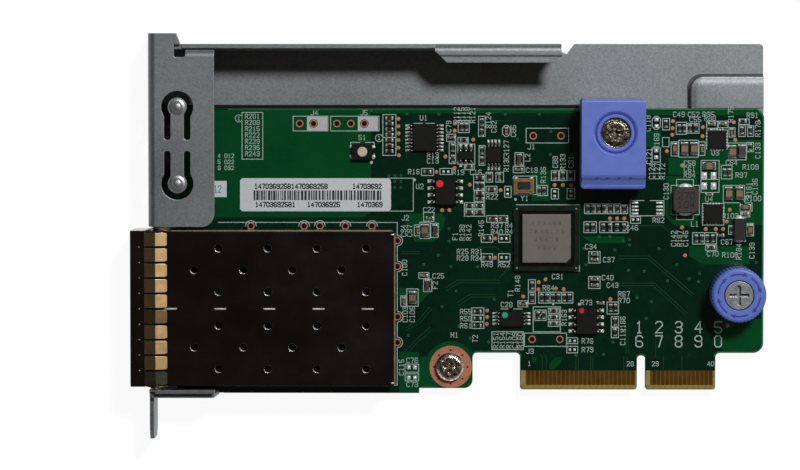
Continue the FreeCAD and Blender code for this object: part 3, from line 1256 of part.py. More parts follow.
def guide_block():
    """The moulded block over the board's edge: hollow below, with a post for its screw."""
    body = new_body("guide_block")
    plan = new_sketch(body, "BlockPlan", "XY_Plane", BOARD_HIGH)
    bottom = "0 - block_bottom_edge"
    rectangle(plan, "block_start", bottom, "block_end", "0 - block_top_edge")
    pad(body, plan, "block_height")
    lip = new_sketch(body, "BlockLip", "XY_Plane", f"{BOARD_HIGH} + block_height - block_lip_drop")
    rectangle(lip, "block_start - 1", f"{bottom} - 1", "block_end + 1", f"{bottom} + block_lip")
    pocket(body, lip, "block_lip_drop", True)
    top = f"{BOARD_HIGH} + block_height"
    fillet(body, "block_round", all_of(
        edge_at(2, ("block_start", "0 - block_top_edge"), ("block_end", "0 - block_top_edge"),
                ("block_start", bottom), ("block_end", bottom)),
        edge_at(0, ("0 - block_top_edge", top), (bottom, f"{top} - block_lip_drop"),
                (f"{bottom} + block_lip", top))))
    hollow = new_sketch(body, "BlockHollow", "XY_Plane", BOARD_HIGH)
    rectangle(hollow, "block_start + block_wall", f"{bottom} + block_wall", "block_end - block_wall",
              "0 - block_top_edge - block_wall")
    pocket(body, hollow, "block_height - block_lip_drop - block_wall", True)
    post = new_sketch(body, "BlockPost", "XY_Plane", BOARD_HIGH)
    circle(post, "block_hole_x", "0 - block_hole_y", "block_post")
    pad(body, post, "block_height - block_wall")
    recess = new_sketch(body, "BlockRecess", "XY_Plane", f"{top} - block_recess_depth")
    circle(recess, "block_hole_x", "0 - block_hole_y", "block_recess")
    pocket(body, recess, "block_recess_depth", True)
    hole = new_sketch(body, "BlockHole", "XY_Plane", BOARD_HIGH)
    circle(hole, "block_hole_x", "0 - block_hole_y", "screw_radius + screw_clearance")
    pocket(body, hole, "block_height", True)
    crown = val(top)
    chamfer(body, "block_round / 2", lambda edge: is_ring(edge, crown, val("block_recess")))
    place(body, "guide_block")


# ---------------------------------------------------------------- captive thumbscrew
def thumbscrew():
    base = f"({BOARD_HIGH} + knob_bottom)"
    top = f"({BOARD_HIGH} + knob_bottom + knob_height)"
    body = knob_blank(base, top)
    seat = new_sketch(body, "HeadSeat", "XY_Plane", f"{top} - knob_head_height")
    circle(seat, "knob_x", "0 - knob_y", "knob_head_radius")
    pocket(body, seat, "knob_head_height", True)
    neck = new_sketch(body, "NeckBore", "XY_Plane", base)
    circle(neck, "knob_x", "0 - knob_y", "knob_neck")
    pocket(body, neck, "knob_height", True)
    hollow = new_sketch(body, "KnobHollow", "XY_Plane", base)
    circle(hollow, "knob_x", "0 - knob_y", "knob_hollow")
    pocket(body, hollow, "knob_hollow_depth", True)
    place(body, "thumbscrew_knob")
    thumbscrew_stem(base, top)
    thumbscrew_ferrule()
    thumbscrew_clip()


def knob_blank(base, top):
    """The knob's outside: a short cylinder with grip grooves, turned about its own axis."""
    body = new_body("thumbscrew_knob")
    section = new_sketch(body, "KnobPlan", "XY_Plane", base)
    count = int(val("knob_grooves"))
    radius = val("knob_radius")
    inner = radius - val("groove_radius")
    centre = Vector(val("knob_x"), -val("knob_y"), 0)
    first = section.GeometryCount
    points = []
    for index in range(count):
        angle = 2 * math.pi * index / count
        half = math.pi / count * 0.55
        for turn, reach in ((-half, radius), (half, radius), (math.pi / count, inner)):
            points.append(centre + Vector(math.cos(angle + turn), math.sin(angle + turn), 0) * reach)
    for index, point in enumerate(points):
        section.addGeometry(Part.LineSegment(point, points[(index + 1) % len(points)]), False)
    for index in range(len(points)):
        following = first + (index + 1) % len(points)
        section.addConstraint(Sketcher.Constraint("Coincident", first + index, 2, following, 1))
    pad(body, section, "knob_height - knob_round")
    crown = new_sketch(body, "KnobCrown", "XY_Plane", f"{top} - knob_round * 2")
    circle(crown, "knob_x", "0 - knob_y", "knob_radius - groove_radius")
    pad(body, crown, "knob_round * 2")
    fillet(body, "knob_round * 0.8",
           lambda edge: is_ring(edge, val(top), val("knob_radius - groove_radius")))
    return body


def thumbscrew_stem(base, top):
    """The steel core: flat head with a cross recess, neck, and shank with a groove for its ring."""
    body = new_body("thumbscrew_stem")
    at = ("knob_x", "0 - knob_y")
    clip_low = f"({BOARD_LOW} - sheet_gauge - clip_play - clip_gauge)"
    steps = (("Tip", "tip_height", clip_low, "shank_radius"),
             ("Groove", clip_low, f"{clip_low} + clip_gauge", "clip_groove"),
             ("Shank", f"{clip_low} + clip_gauge", f"{base} + knob_hollow_depth", "shank_radius"),
             ("Neck", f"{base} + knob_hollow_depth", f"{top} - knob_head_height", "knob_neck"),
             ("Head", f"{top} - knob_head_height", f"{top} - 0.1", "knob_head_radius"))
    for name, low, high, radius in steps:
        sketch = new_sketch(body, name, "XY_Plane", low)
        circle(sketch, *at, radius)
        pad(body, sketch, f"{high} - ({low})")
    doc.recompute()
    crown = val(f"{top} - 0.1")
    chamfer(body, "knob_head_radius / 12", lambda edge: is_ring(edge, crown, val("knob_head_radius")))
    cross_recess(body, *at, f"{top} - 0.1", "recess_reach * 1.35", "recess_depth")
    place(body, "thumbscrew_stem")


def thumbscrew_ferrule():
    """The clinched sleeve that guides the shank through the board."""
    body = new_body("thumbscrew_ferrule")
    at = ("knob_x", "0 - knob_y")
    stem = new_sketch(body, "FerruleStem", "XY_Plane", f"{BOARD_LOW} - sheet_gauge")
    circle(stem, *at, "ferrule_stem")
    pad(body, stem, "sheet_gauge")
    sleeve = new_sketch(body, "FerruleSleeve", "XY_Plane", BOARD_LOW)
    circle(sleeve, *at, "ferrule_radius")
    pad(body, sleeve, "board_gauge + ferrule_rise")
    bore = new_sketch(body, "FerruleBore", "XY_Plane", f"{BOARD_LOW} - sheet_gauge")
    circle(bore, *at, "shank_radius + shank_clearance")
    pocket(body, bore, "sheet_gauge + board_gauge + ferrule_rise", True)
    place(body, "thumbscrew_ferrule")


def thumbscrew_clip():
    """The split ring in the shank's groove that keeps the thumbscrew captive."""
    body = new_body("thumbscrew_clip")
    at = ("knob_x", "0 - knob_y")
    low = f"({BOARD_LOW} - sheet_gauge - clip_play - clip_gauge)"
    ring = new_sketch(body, "ClipRing", "XY_Plane", f"{low} + 0.02")
    circle(ring, *at, "clip_radius")
    circle(ring, *at, "clip_groove + shank_clearance")
    pad(body, ring, "clip_gauge - 0.04")
    gap = new_sketch(body, "ClipGap", "XY_Plane", low)
    rectangle(gap, "knob_x", "0 - knob_y - clip_groove * 0.8", "knob_x + clip_radius + 1",
              "clip_groove * 0.8 - knob_y")
    pocket(body, gap, "clip_gauge", True)
    place(body, "thumbscrew_clip")


# ---------------------------------------------------------------- labels
def labels():
    body = new_body("board_label")
    plan = new_sketch(body, "LabelPlan", "XY_Plane", BOARD_HIGH)
    far = "label_x + label_length / 2"
    rectangle(plan, "label_x - label_length / 2", "0 - label_y - label_width / 2", far,
              "label_width / 2 - label_y")
    pad(body, plan, "label_gauge")
    fillet(body, "label_corner", edge_at(2, (far, "0 - label_y - label_width / 2"),
                                         (far, "label_width / 2 - label_y")))
    place(body, "board_label")
    block_at("batch_label", (f"(tag_end - tag_length / 2)", "tag_y"), "tag_length", "tag_width",
             BOARD_HIGH, "label_gauge")


# ---------------------------------------------------------------- chip components
# Rows of chip components: first place along the card and below the wall, step along, step down, count,
# and whether the component lies lengthways.
RESISTOR_ROWS = (
    (43.7, 13.7, 0.0, 1.0, 7, True), (50.7, 23.5, 0.0, 0.0, 1, True), (57.4, 17.7, 0.0, 0.0, 1, True),
    (58.3, 22.6, 0.0, 0.0, 1, True), (60.35, 24.6, 0.0, 0.0, 1, True), (60.35, 27.5, 0.0, 1.0, 2, True),
    (58.4, 29.8, 1.9, 0.0, 2, True), (58.4, 31.0, 1.9, 0.0, 2, True), (62.55, 26.8, 0.0, 0.0, 1, True),
    (62.75, 32.25, 1.95, 0.0, 2, True), (61.65, 35.8, 0.0, 3.55, 2, True), (59.95, 49.3, 0.0, 1.27, 3, True),
    (73.95, 49.1, 0.0, 1.2, 3, True), (102.9, 37.4, 0.0, 0.0, 1, True), (108.6, 14.2, 0.0, 0.0, 1, True),
    (57.0, 15.25, 0.85, 0.0, 2, False), (55.35, 19.1, 0.0, 2.0, 2, False), (60.7, 14.4, 0.0, 1.9, 2, False),
    (60.7, 19.6, 0.0, 1.8, 2, False), (59.9, 26.1, 0.9, 0.0, 2, False), (62.1, 24.4, 0.0, 0.0, 1, False),
    (71.2, 27.0, 0.9, 0.0, 2, False), (74.1, 24.2, 1.5, 0.0, 3, False), (94.5, 14.7, 0.0, 0.0, 1, False),
    (97.0, 15.5, 0.9, 0.0, 2, False), (98.95, 15.5, 1.05, 0.0, 2, False), (108.45, 15.9, 1.55, 0.0, 2, False),
    (110.0, 19.0, 0.0, 0.0, 1, False), (105.3, 23.6, 0.9, 0.0, 2, False), (80.2, 30.3, 1.0, 0.0, 4, False),
    (84.35, 30.3, 1.25, 0.0, 3, False), (80.1, 33.75, 1.05, 0.0, 2, False), (83.05, 33.75, 1.27, 0.0, 4, False),
    (70.0, 44.45, 0.0, 2.3, 2, False), (71.75, 46.7, 1.03, 0.0, 6, False), (71.15, 49.95, 0.95, 0.0, 2, False),
    (84.45, 48.55, 0.9, 0.0, 2, False), (85.25, 51.15, 0.0, 1.95, 2, False), (100.2, 35.75, 1.0, 0.0, 4, False),
    (106.6, 34.1, 0.0, 0.0, 1, False),
)
SMALL_CAPACITOR_ROWS = (
    (55.1, 17.2, 0.0, 0.0, 1, True), (67.5, 23.1, 0.0, 0.0, 1, True), (102.95, 14.7, 2.0, 0.0, 2, True),
    (51.15, 32.05, 0.0, 0.0, 1, True), (50.1, 42.65, 0.0, 0.0, 1, True), (68.35, 47.9, 0.0, 0.0, 1, True),
    (82.6, 47.7, 0.0, 0.0, 1, True), (81.5, 38.7, 0.0, 0.98, 2, True), (81.5, 43.3, 0.0, 1.1, 2, True),
    (104.6, 35.2, 0.0, 0.0, 1, True), (109.1, 31.3, 0.0, 0.0, 1, True), (102.5, 27.7, 0.0, 0.0, 1, True),
    (65.2, 16.0, 0.0, 0.0, 1, False), (63.9, 24.5, 0.0, 0.0, 1, False), (106.6, 16.2, 0.0, 0.0, 1, False),
    (101.15, 19.2, 0.0, 0.0, 1, False), (48.9, 34.25, 0.0, 0.0, 1, False), (46.35, 47.3, 0.0, 0.0, 1, False),
)
MEDIUM_CAPACITOR_ROWS = (
    (96.15, 19.2, 0.0, 0.0, 1, False), (110.05, 34.15, 0.0, 0.0, 1, False), (109.2, 29.95, 0.0, 0.0, 1, True),
)
LARGE_CAPACITOR_ROWS = (
    (97.95, 19.25, 1.75, 0.0, 2, False), (106.75, 19.8, 0.0, 0.0, 1, False), (106.1, 27.45, 1.95, 0.0, 2, False),
    (50.2, 34.3, 0.0, 0.0, 1, False), (47.95, 46.7, 0.0, 0.0, 1, False), (102.5, 22.4, 0.0, 0.0, 1, True),
)
BEAD_ROWS = (
    (67.6, 21.2, 0.0, 0.0, 1, False), (52.1, 34.2, 0.0, 0.0, 1, False), (50.7, 44.35, 0.0, 0.0, 1, False),
)
CHIP_COIL_ROWS = ((108.5, 19.7, 0.0, 0.0, 1, False),)


def upright_box(along, down, size, base):
    """Box of the size (along, across, up), centred on a place of the board."""
    corner = Vector(along - size[0] / 2, -down - size[1] / 2, base)
    return Part.makeBox(size[0], size[1], size[2], corner)


def chip_component(kind, height, along, down, lengthways):
    """Body and two wrapped-round ends of one chip component: a list of one solid and a list of two."""
    length = val(f"{kind}_chip_length")
    width = val(f"{kind}_chip_width")
    end = val(f"{kind}_chip_end")
    plating = val("chip_plating")
    turn = 0 if lengthways else 1
    along_way = (1, 0) if lengthways else (0, 1)
    board = val(BOARD_HIGH)
    body_size = (length - 2 * end, width - 2 * plating)
    end_size = (end, width)
    body = upright_box(along, down, (body_size[turn], body_size[1 - turn], height - plating), board)
    ends = []
    for side in (-1, 1):
        reach = side * (length - end) / 2
        place_along = along + along_way[0] * reach
        place_down = down + along_way[1] * reach
        ends.append(upright_box(place_along, place_down, (end_size[turn], end_size[1 - turn], height), board))
    return [body], ends


def chip_rows(kind, height, rows):
    """Bodies and ends of all the components in rows of one kind."""
    bodies = []
    ends = []
    for along, down, step, step_down, count, lengthways in rows:
        for index in range(count):
            places = (along + index * step, down + index * step_down)
            body, pair = chip_component(kind, val(height), places[0], places[1], lengthways)
            bodies += body
            ends += pair
    return bodies, ends


def chip_components():
    resistors, ends = chip_rows("small", "resistor_height", RESISTOR_ROWS)
    group("chip_resistors", resistors)
    small, small_ends = chip_rows("small", "small_chip_width", SMALL_CAPACITOR_ROWS)
    group("chip_capacitors", small)
    medium, medium_ends = chip_rows("medium", "medium_chip_width", MEDIUM_CAPACITOR_ROWS)
    large, large_ends = chip_rows("large", "large_chip_height", LARGE_CAPACITOR_ROWS)
    group("ceramic_capacitors", medium + large)
    beads, bead_ends = chip_rows("medium", "medium_chip_width", BEAD_ROWS)
    coils, coil_ends = chip_rows("large", "large_chip_height", CHIP_COIL_ROWS)
    group("ferrite_beads", beads + coils)
    group("chip_ends", ends + small_ends + medium_ends + large_ends + bead_ends + coil_ends)


def build():
    folded_tray()
    insulating_film()
    circuit_board()
    edge_contacts()
    cage_shell()
    cage_divider()
    spring_collar()
    module_connectors()
    connector_contacts()
    processor()
    chips()
    larger_components()
    push_switch()
    guide_block()
    block_seat = f"({BOARD_HIGH} + block_height - block_recess_depth)"
    pan_screw("block_screw", "block_hole_x", "0 - block_hole_y", block_seat, "0.4")
    standoff("block_standoff", "block_hole_x", "0 - block_hole_y")
    pan_screw("board_screw", "board_hole_x", "0 - board_hole_y", BOARD_HIGH, "0.4")
    standoff("board_standoff", "board_hole_x", "0 - board_hole_y")
    thumbscrew()
    labels()
    chip_components()


def check_and_export():
    doc.recompute()
    for item in doc.Objects:
        if "Invalid" in item.State or "Error" in item.State:
            raise ValueError(f"{item.Name} ({item.Label}) failed: {item.State}")
    for piece in SUB_PARTS:
        if piece.Shape.isNull() or not piece.Shape.isValid():
            raise ValueError(f"{piece.Label} has no valid shape")
    os.makedirs("parts", exist_ok=True)
    for piece in SUB_PARTS:
        piece.Shape.exportStep(os.path.join("parts", piece.Label + ".step"))


build()
check_and_export()
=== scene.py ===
"""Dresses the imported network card: finishes on its solids, and the printing, pads, solder and marks on its board."""

import math
import random

import bmesh
import bpy
from bpy.props import FloatProperty, FloatVectorProperty, IntProperty, PointerProperty
from mathutils import Matrix, Vector
from mathutils.bvhtree import BVHTree


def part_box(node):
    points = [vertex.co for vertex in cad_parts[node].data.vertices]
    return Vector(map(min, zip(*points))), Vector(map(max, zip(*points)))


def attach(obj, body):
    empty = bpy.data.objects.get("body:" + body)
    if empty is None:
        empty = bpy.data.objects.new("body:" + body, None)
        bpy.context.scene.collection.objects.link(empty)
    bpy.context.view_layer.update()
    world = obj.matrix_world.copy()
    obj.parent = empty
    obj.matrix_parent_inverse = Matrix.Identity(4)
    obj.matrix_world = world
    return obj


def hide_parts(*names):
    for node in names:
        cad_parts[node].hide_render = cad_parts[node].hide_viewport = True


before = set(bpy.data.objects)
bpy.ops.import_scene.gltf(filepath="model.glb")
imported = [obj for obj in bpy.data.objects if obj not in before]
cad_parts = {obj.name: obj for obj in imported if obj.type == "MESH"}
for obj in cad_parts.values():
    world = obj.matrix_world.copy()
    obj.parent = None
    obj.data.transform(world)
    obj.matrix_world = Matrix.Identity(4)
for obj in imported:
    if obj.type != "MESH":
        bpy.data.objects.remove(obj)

bl_info = {
    "name": "Network card dressing",
    "version": (1, 0, 0),
    "blender": (4, 5, 0),
    "location": "View3D > Sidebar > Network card",
    "description": "Finishes, printing, pads, solder and marks for a network interface card",
    "category": "Object",
}

MM = 0.001
DOWN = Vector((0, 0, -1))
LEFT = Vector((0, 1, 0))
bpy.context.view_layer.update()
ROUND_STEPS = 20
SMOOTH_ANGLE = math.radians(35)

# Every place on the board is given as (along, down): millimetres from the faceplate's outer face
# along the card, and from the long wall's outer face across it. Sizes are in millimetres too.
BOARD_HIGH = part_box("circuit_board")[1]
BOARD_TOP = BOARD_HIGH.z
WALL_INSET = 11.88
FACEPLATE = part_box("bracket_tray")[0].x
LONG_WALL = BOARD_HIGH.y + WALL_INSET * MM
LEADED_CHIPS = ("expander_chip", "memory_chip", "supervisor_chip", "logic_chip", "sensor_chip", "controller_chip")
REGULATORS = ("regulator_chip_upper", "regulator_chip_lower")

# Heights over the board's top face, and the small step between prints that cross.
SINK = -0.02
EDGE_SINK = -0.34
POUR_HEIGHT = 0.018
PAD_HEIGHT = 0.032
SILK_HEIGHT = 0.045
LAYER_STEP = 0.0015 * MM
# How far copper keeps from the board's edge, and where the bare laminate of the contact tabs starts.
EDGE_INSET = 0.06 * MM
TAB_LINE = 60.1
RING_END = 66.0

# Bracket: spring tab heads, the webs and the strip at the lip's corner, and the black film carried on under the
# flange's slots as painted shade.
SPRING_TAB_HEADS = ((5.35, 11.45), (5.35, 25.35))
TAB_HEAD_PROFILE = ((1.66, -0.5), (1.66, -0.44), (1.56, -0.3), (1.36, -0.22), (1.12, -0.2), (0.98, -0.14),
    (0.84, 0.02), (0.64, 0.14), (0.4, 0.2), (0.16, 0.22))
CORNER_WEBS = (((4.0, 3.4, 0.02), (6.3, 0.15, 0.9)), ((4.0, 0.95, 0.5), (6.2, 0.02, 12.3)))
LIP_STRIP = ((1.2, 63.6), (11.95, 63.6), (12.15, 62.98), (1.2, 62.98))
LIP_STRIP_HEIGHTS = (11.5, 13.64)
FILM_SHADE_SPAN = (1.0, 4.9, 31.0)
# The tray's raised pad, in the frame's own x and y, its roll as (inset, height) and the width of the painted shade in
# the crease at its foot.
PAD_LEFT, PAD_FRONT, PAD_RIGHT, PAD_BACK = 44.25, 29.25, 57.93, 23.28
PAD_RADIUS = 2.35
PAD_STEPS = 14
PAD_ROLL = ((0.42, 1.9), (0.42, 2.003), (0.72, 2.018), (0.95, 2.043), (1.2, 2.073), (1.5, 2.096), (1.85, 2.106))
PAD_FLOOR, PAD_SHADE_WIDTH = 0.8, 0.34

# Board: its shoulder at the lip's corner, the bare ends of the tabs, and a painted highlight in pale green along its
# cut edge as (down, height), with its reach along and the slopes of the faces that it takes in.
SHOULDER = ((4.4, 61.7), (4.4, 63.66), (11.9, 63.66), (12.3, 64.3), (13.3, 64.3), (13.3, 61.7))
TAB_MARGINS = ((67.9, 68.82), (90.95, 91.8))
RIM_SECTION = ((11.93, 3.325), (12.19, 3.585), (12.44, 3.585), (12.44, 3.5), (12.2, 3.4))
RIM_SPAN = (14.0, 110.7)
RIM_TURN = (0.3, 0.95)
# The strip that frames the oscillator's lid.
LID_RIM, LID_RIM_RISE = 0.36, 0.03

# Chips: ink dots and moulded rings, each placed by shares of its chip's length and width.
INK_DOTS = (("red_dot", "memory_chip", (0.24, 0.81), 0.66, (196, 42, 40)),
    ("teal_dot", "sensor_chip", (0.22, 0.74), 0.55, (36, 142, 112)),
    ("pink_dot", "controller_chip", (0.27, 0.9), 0.48, (168, 22, 62)))
FIRST_LEADS = (("expander_chip", (0.2, 0.8), 0.4), ("controller_chip", (0.5, 0.12), 0.3),
    ("regulator_chip_upper", (0.2, 0.8), 0.25), ("logic_chip", (0.2, 0.28), 0.16),
    ("regulator_chip_lower", (0.2, 0.8), 0.25), ("supervisor_chip", (0.2, 0.2), 0.2))

# Module cage: its vents, its spring fingers and the band that they stand on.
CAGE_LOW, CAGE_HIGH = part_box("cage_shell")
CAGE_TOP_EDGE = 34.05
CAGE_WIDTH = 28.15
VENT_FIRST = 12.78
VENT_PITCH = 8.94
VENT_SIDE = 3.95
VENT_RADIUS = 0.73
LIP_START, LIP_SWEEP, LIP_STEPS = 165, 145, 10
LIP_THICK = 0.17
NOSE_BAND = (-3.3, -0.65)
FINGERS = 10
SIDE_FINGERS = 3
DULL_FINGER = 5
SHADED_FINGER = 9
FINGER_PITCH = 2.81
FINGER_WIDTH = 2.38
FINGER_START = -0.7
FINGER_RIDGE = 1.25
FINGER_END = 3.4
FINGER_RISE = 0.5
FINGER_GAUGE = 0.15
# Shares of a finger's length at which its form is taken, and where its rounded tip starts.
FINGER_STEPS = (0.0, 0.15, 0.35, 0.5, 0.532, 0.562, 0.6, 0.75, 0.86, 0.93, 0.975, 1.0)
FINGER_TIP = 0.86
HOOK_PLACE = -1.65

# Thumbscrew knob and blue block. The step's rounded inner corner is (inward, down) from its edge.
KNOB_LOW, KNOB_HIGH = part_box("thumbscrew_knob")
KNOB_RIBS = 48
RIB_INNER, RIB_OUTER = 4.7, 4.985
ARROWS = 6
ARROW_RADIUS, ARROW_LINE = 3.85, 0.3
ARROW_BACK, ARROW_NOTCH, ARROW_HALF = 0.85, 0.7, 0.46
ARROW_START, ARROW_SWEEP = math.radians(10), math.radians(43)
BLOCK_MARKS = (81.5, 83.4, 85.5, 87.6)
BLOCK_MARKS_DOWN = 24.2
COLLAR_IN, COLLAR_OUT = 2.74, 3.5
STEP_SECTION = ((2.2, 1.6), (0.75, 1.6), (0.85, 1.49), (1.2, 1.36), (1.6, 1.08), (1.95, 0.62), (2.12, 0.3), (2.2, 0.3))
SCREW_RIM_SECTION = ((1.85, -0.5), (2.74, -0.5), (2.74, -0.04), (2.62, 0.02), (2.54, -0.07), (1.85, -0.02))

# Labels: the bars, and the rows of digits as the row's middle along and down and how many digits it has.
LABEL_START = 18.7
LABEL_END = 42.7
BAR_TOP, BAR_FOOT = 26.95, 28.75
DIGIT_HEIGHT, DIGIT_LINE = 0.84, 0.2
BAR_WIDTHS, BAR_GAPS = (0.17, 0.25, 0.34, 0.44), (0.13, 0.16, 0.19, 0.27)
LABEL_ROWS = ((25.6, 26.2, 20), (39.6, 26.2, 8), (22.7, 29.55, 11), (31.6, 29.55, 9), (40.1, 29.55, 7))


def spot(along, down, height=0.0):
    """A point over the board, height in millimetres above its top face."""
    return Vector((FACEPLATE + along * MM, LONG_WALL - down * MM, BOARD_TOP + height * MM))


def flat(along, down):
    """The same place seen from above, as a 2-D point."""
    return spot(along, down).xy


def above(height):
    """A height over the board's top face in millimetres, as a scene value."""
    return BOARD_TOP + height * MM


def raised(along, down, height):
    """A point over the same place, its height in millimetres above the tray's underside."""
    return Vector((*flat(along, down), height * MM))


def heading(turn):
    """The 2-D direction at an angle."""
    return Vector((math.cos(turn), math.sin(turn)))


def sideways(way):
    """A 2-D direction turned a quarter turn to the left."""
    return Vector((-way.y, way.x))


def squared(way):
    """The nearest of the four directions along the board's edges."""
    if abs(way.x) > abs(way.y):
        return Vector((math.copysign(1, way.x), 0))
    return Vector((0, math.copysign(1, way.y)))


def part_way(box, share):
    """The 2-D place at a share of a box's length and width."""
    low, high = box
    return (low.x + (high.x - low.x) * share[0], low.y + (high.y - low.y) * share[1])


def landing(tree, place):
    """How high the surface lies straight under a place."""
    return tree.ray_cast(Vector(place), DOWN)[0].z


def srgb(red, green, blue):
    """A colour as a scene value, from the 0 to 255 numbers of a colour chart."""
    def linear(value):
        share = value / 255
        return share / 12.92 if share <= 0.04045 else ((share + 0.055) / 1.055) ** 2.4
    return (linear(red), linear(green), linear(blue), 1.0)


# ---------------------------------------------------------------- sizes and colours

def colour(name, words, red, green, blue):
    return FloatVectorProperty(name=name, description=words, subtype="COLOR", size=4, min=0, max=1,
        default=srgb(red, green, blue))


def length(name, words, millimetres):
    return FloatProperty(name=name, description=words, default=millimetres * MM, min=0, subtype="DISTANCE",
        unit="LENGTH", precision=6)


class CardColours(bpy.types.PropertyGroup):
    steel: colour("Zinc steel", "Colour of the plated bracket and tray", 110, 115, 116)
    mask: colour("Solder mask", "Green of the board away from the copper", 2, 32, 20)
    pour: colour("Solder mask on copper", "Brighter green over the copper areas", 2, 62, 30)
    laminate: colour("Bare laminate", "Glass-fibre board without solder mask", 130, 113, 55)
    silk: colour("Legend ink", "Printed outlines and numbers", 146, 164, 156)
    gold: colour("Gold", "Plated edge contacts", 100, 66, 6)
    copper: colour("Copper", "Bare test pads and rings", 160, 102, 76)
    tin: colour("Solder", "Solder and tinned ends", 205, 208, 204)
    cage: colour("Cage metal", "Dark nickel silver of the module cage", 92, 88, 95)
    bronze: colour("Spring bronze", "Spring fingers round the cage", 250, 212, 158)
    plastic: colour("Blue plastic", "Touch points of the card", 78, 99, 174)
    moulding: colour("Black moulding", "Chip bodies", 14, 13, 12)
    lid: colour("Chip lid", "Metal lid of the large chip", 94, 89, 83)
    ceramic: colour("Capacitor ceramic", "Tan chip capacitors", 104, 93, 72)
    ferrite: colour("Ferrite", "Grey power inductor", 52, 46, 42)
    paper: colour("Label paper", "Paper of the labels", 176, 180, 182)
    cream: colour("Cream plastic", "Button of the switch", 168, 160, 140)


class CardSizes(bpy.types.PropertyGroup):
    silk_line: length("Legend line", "Width of the printed outlines", 0.135)
    letter_height: length("Letter height", "Height of the printed numbers", 0.88)
    letter_line: length("Letter line", "Width of the strokes of the printed numbers", 0.115)
    trace: length("Trace", "Width of a copper trace", 0.16)
    fillet: length("Solder fillet", "Reach of the solder past a chip's end", 0.24)
    pad_margin: length("Pad margin", "How far a pad stands out round what is soldered to it", 0.06)
    key_power: FloatProperty(name="Main lamp", description="Power of the soft lamp, in watts",
                             default=7.3, min=0)
    seed: IntProperty(name="Seed", description="Start of the random order of small marks", default=7, min=0)


def colours():
    return bpy.context.scene.card_colours


def sizes():
    return bpy.context.scene.card_sizes


# ---------------------------------------------------------------- mesh forms

def circle(centre, radius, height, steps=ROUND_STEPS, start=0.0):
    """Points round a centre, anticlockwise. The centre is 2-D, in metres."""
    return [Vector((centre[0] + radius * math.cos(start + math.tau * step / steps),
                    centre[1] + radius * math.sin(start + math.tau * step / steps), height))
            for step in range(steps)]


def rectangle(low, high, height):
    return [Vector((low[0], low[1], height)), Vector((high[0], low[1], height)),
            Vector((high[0], high[1], height)), Vector((low[0], high[1], height))]


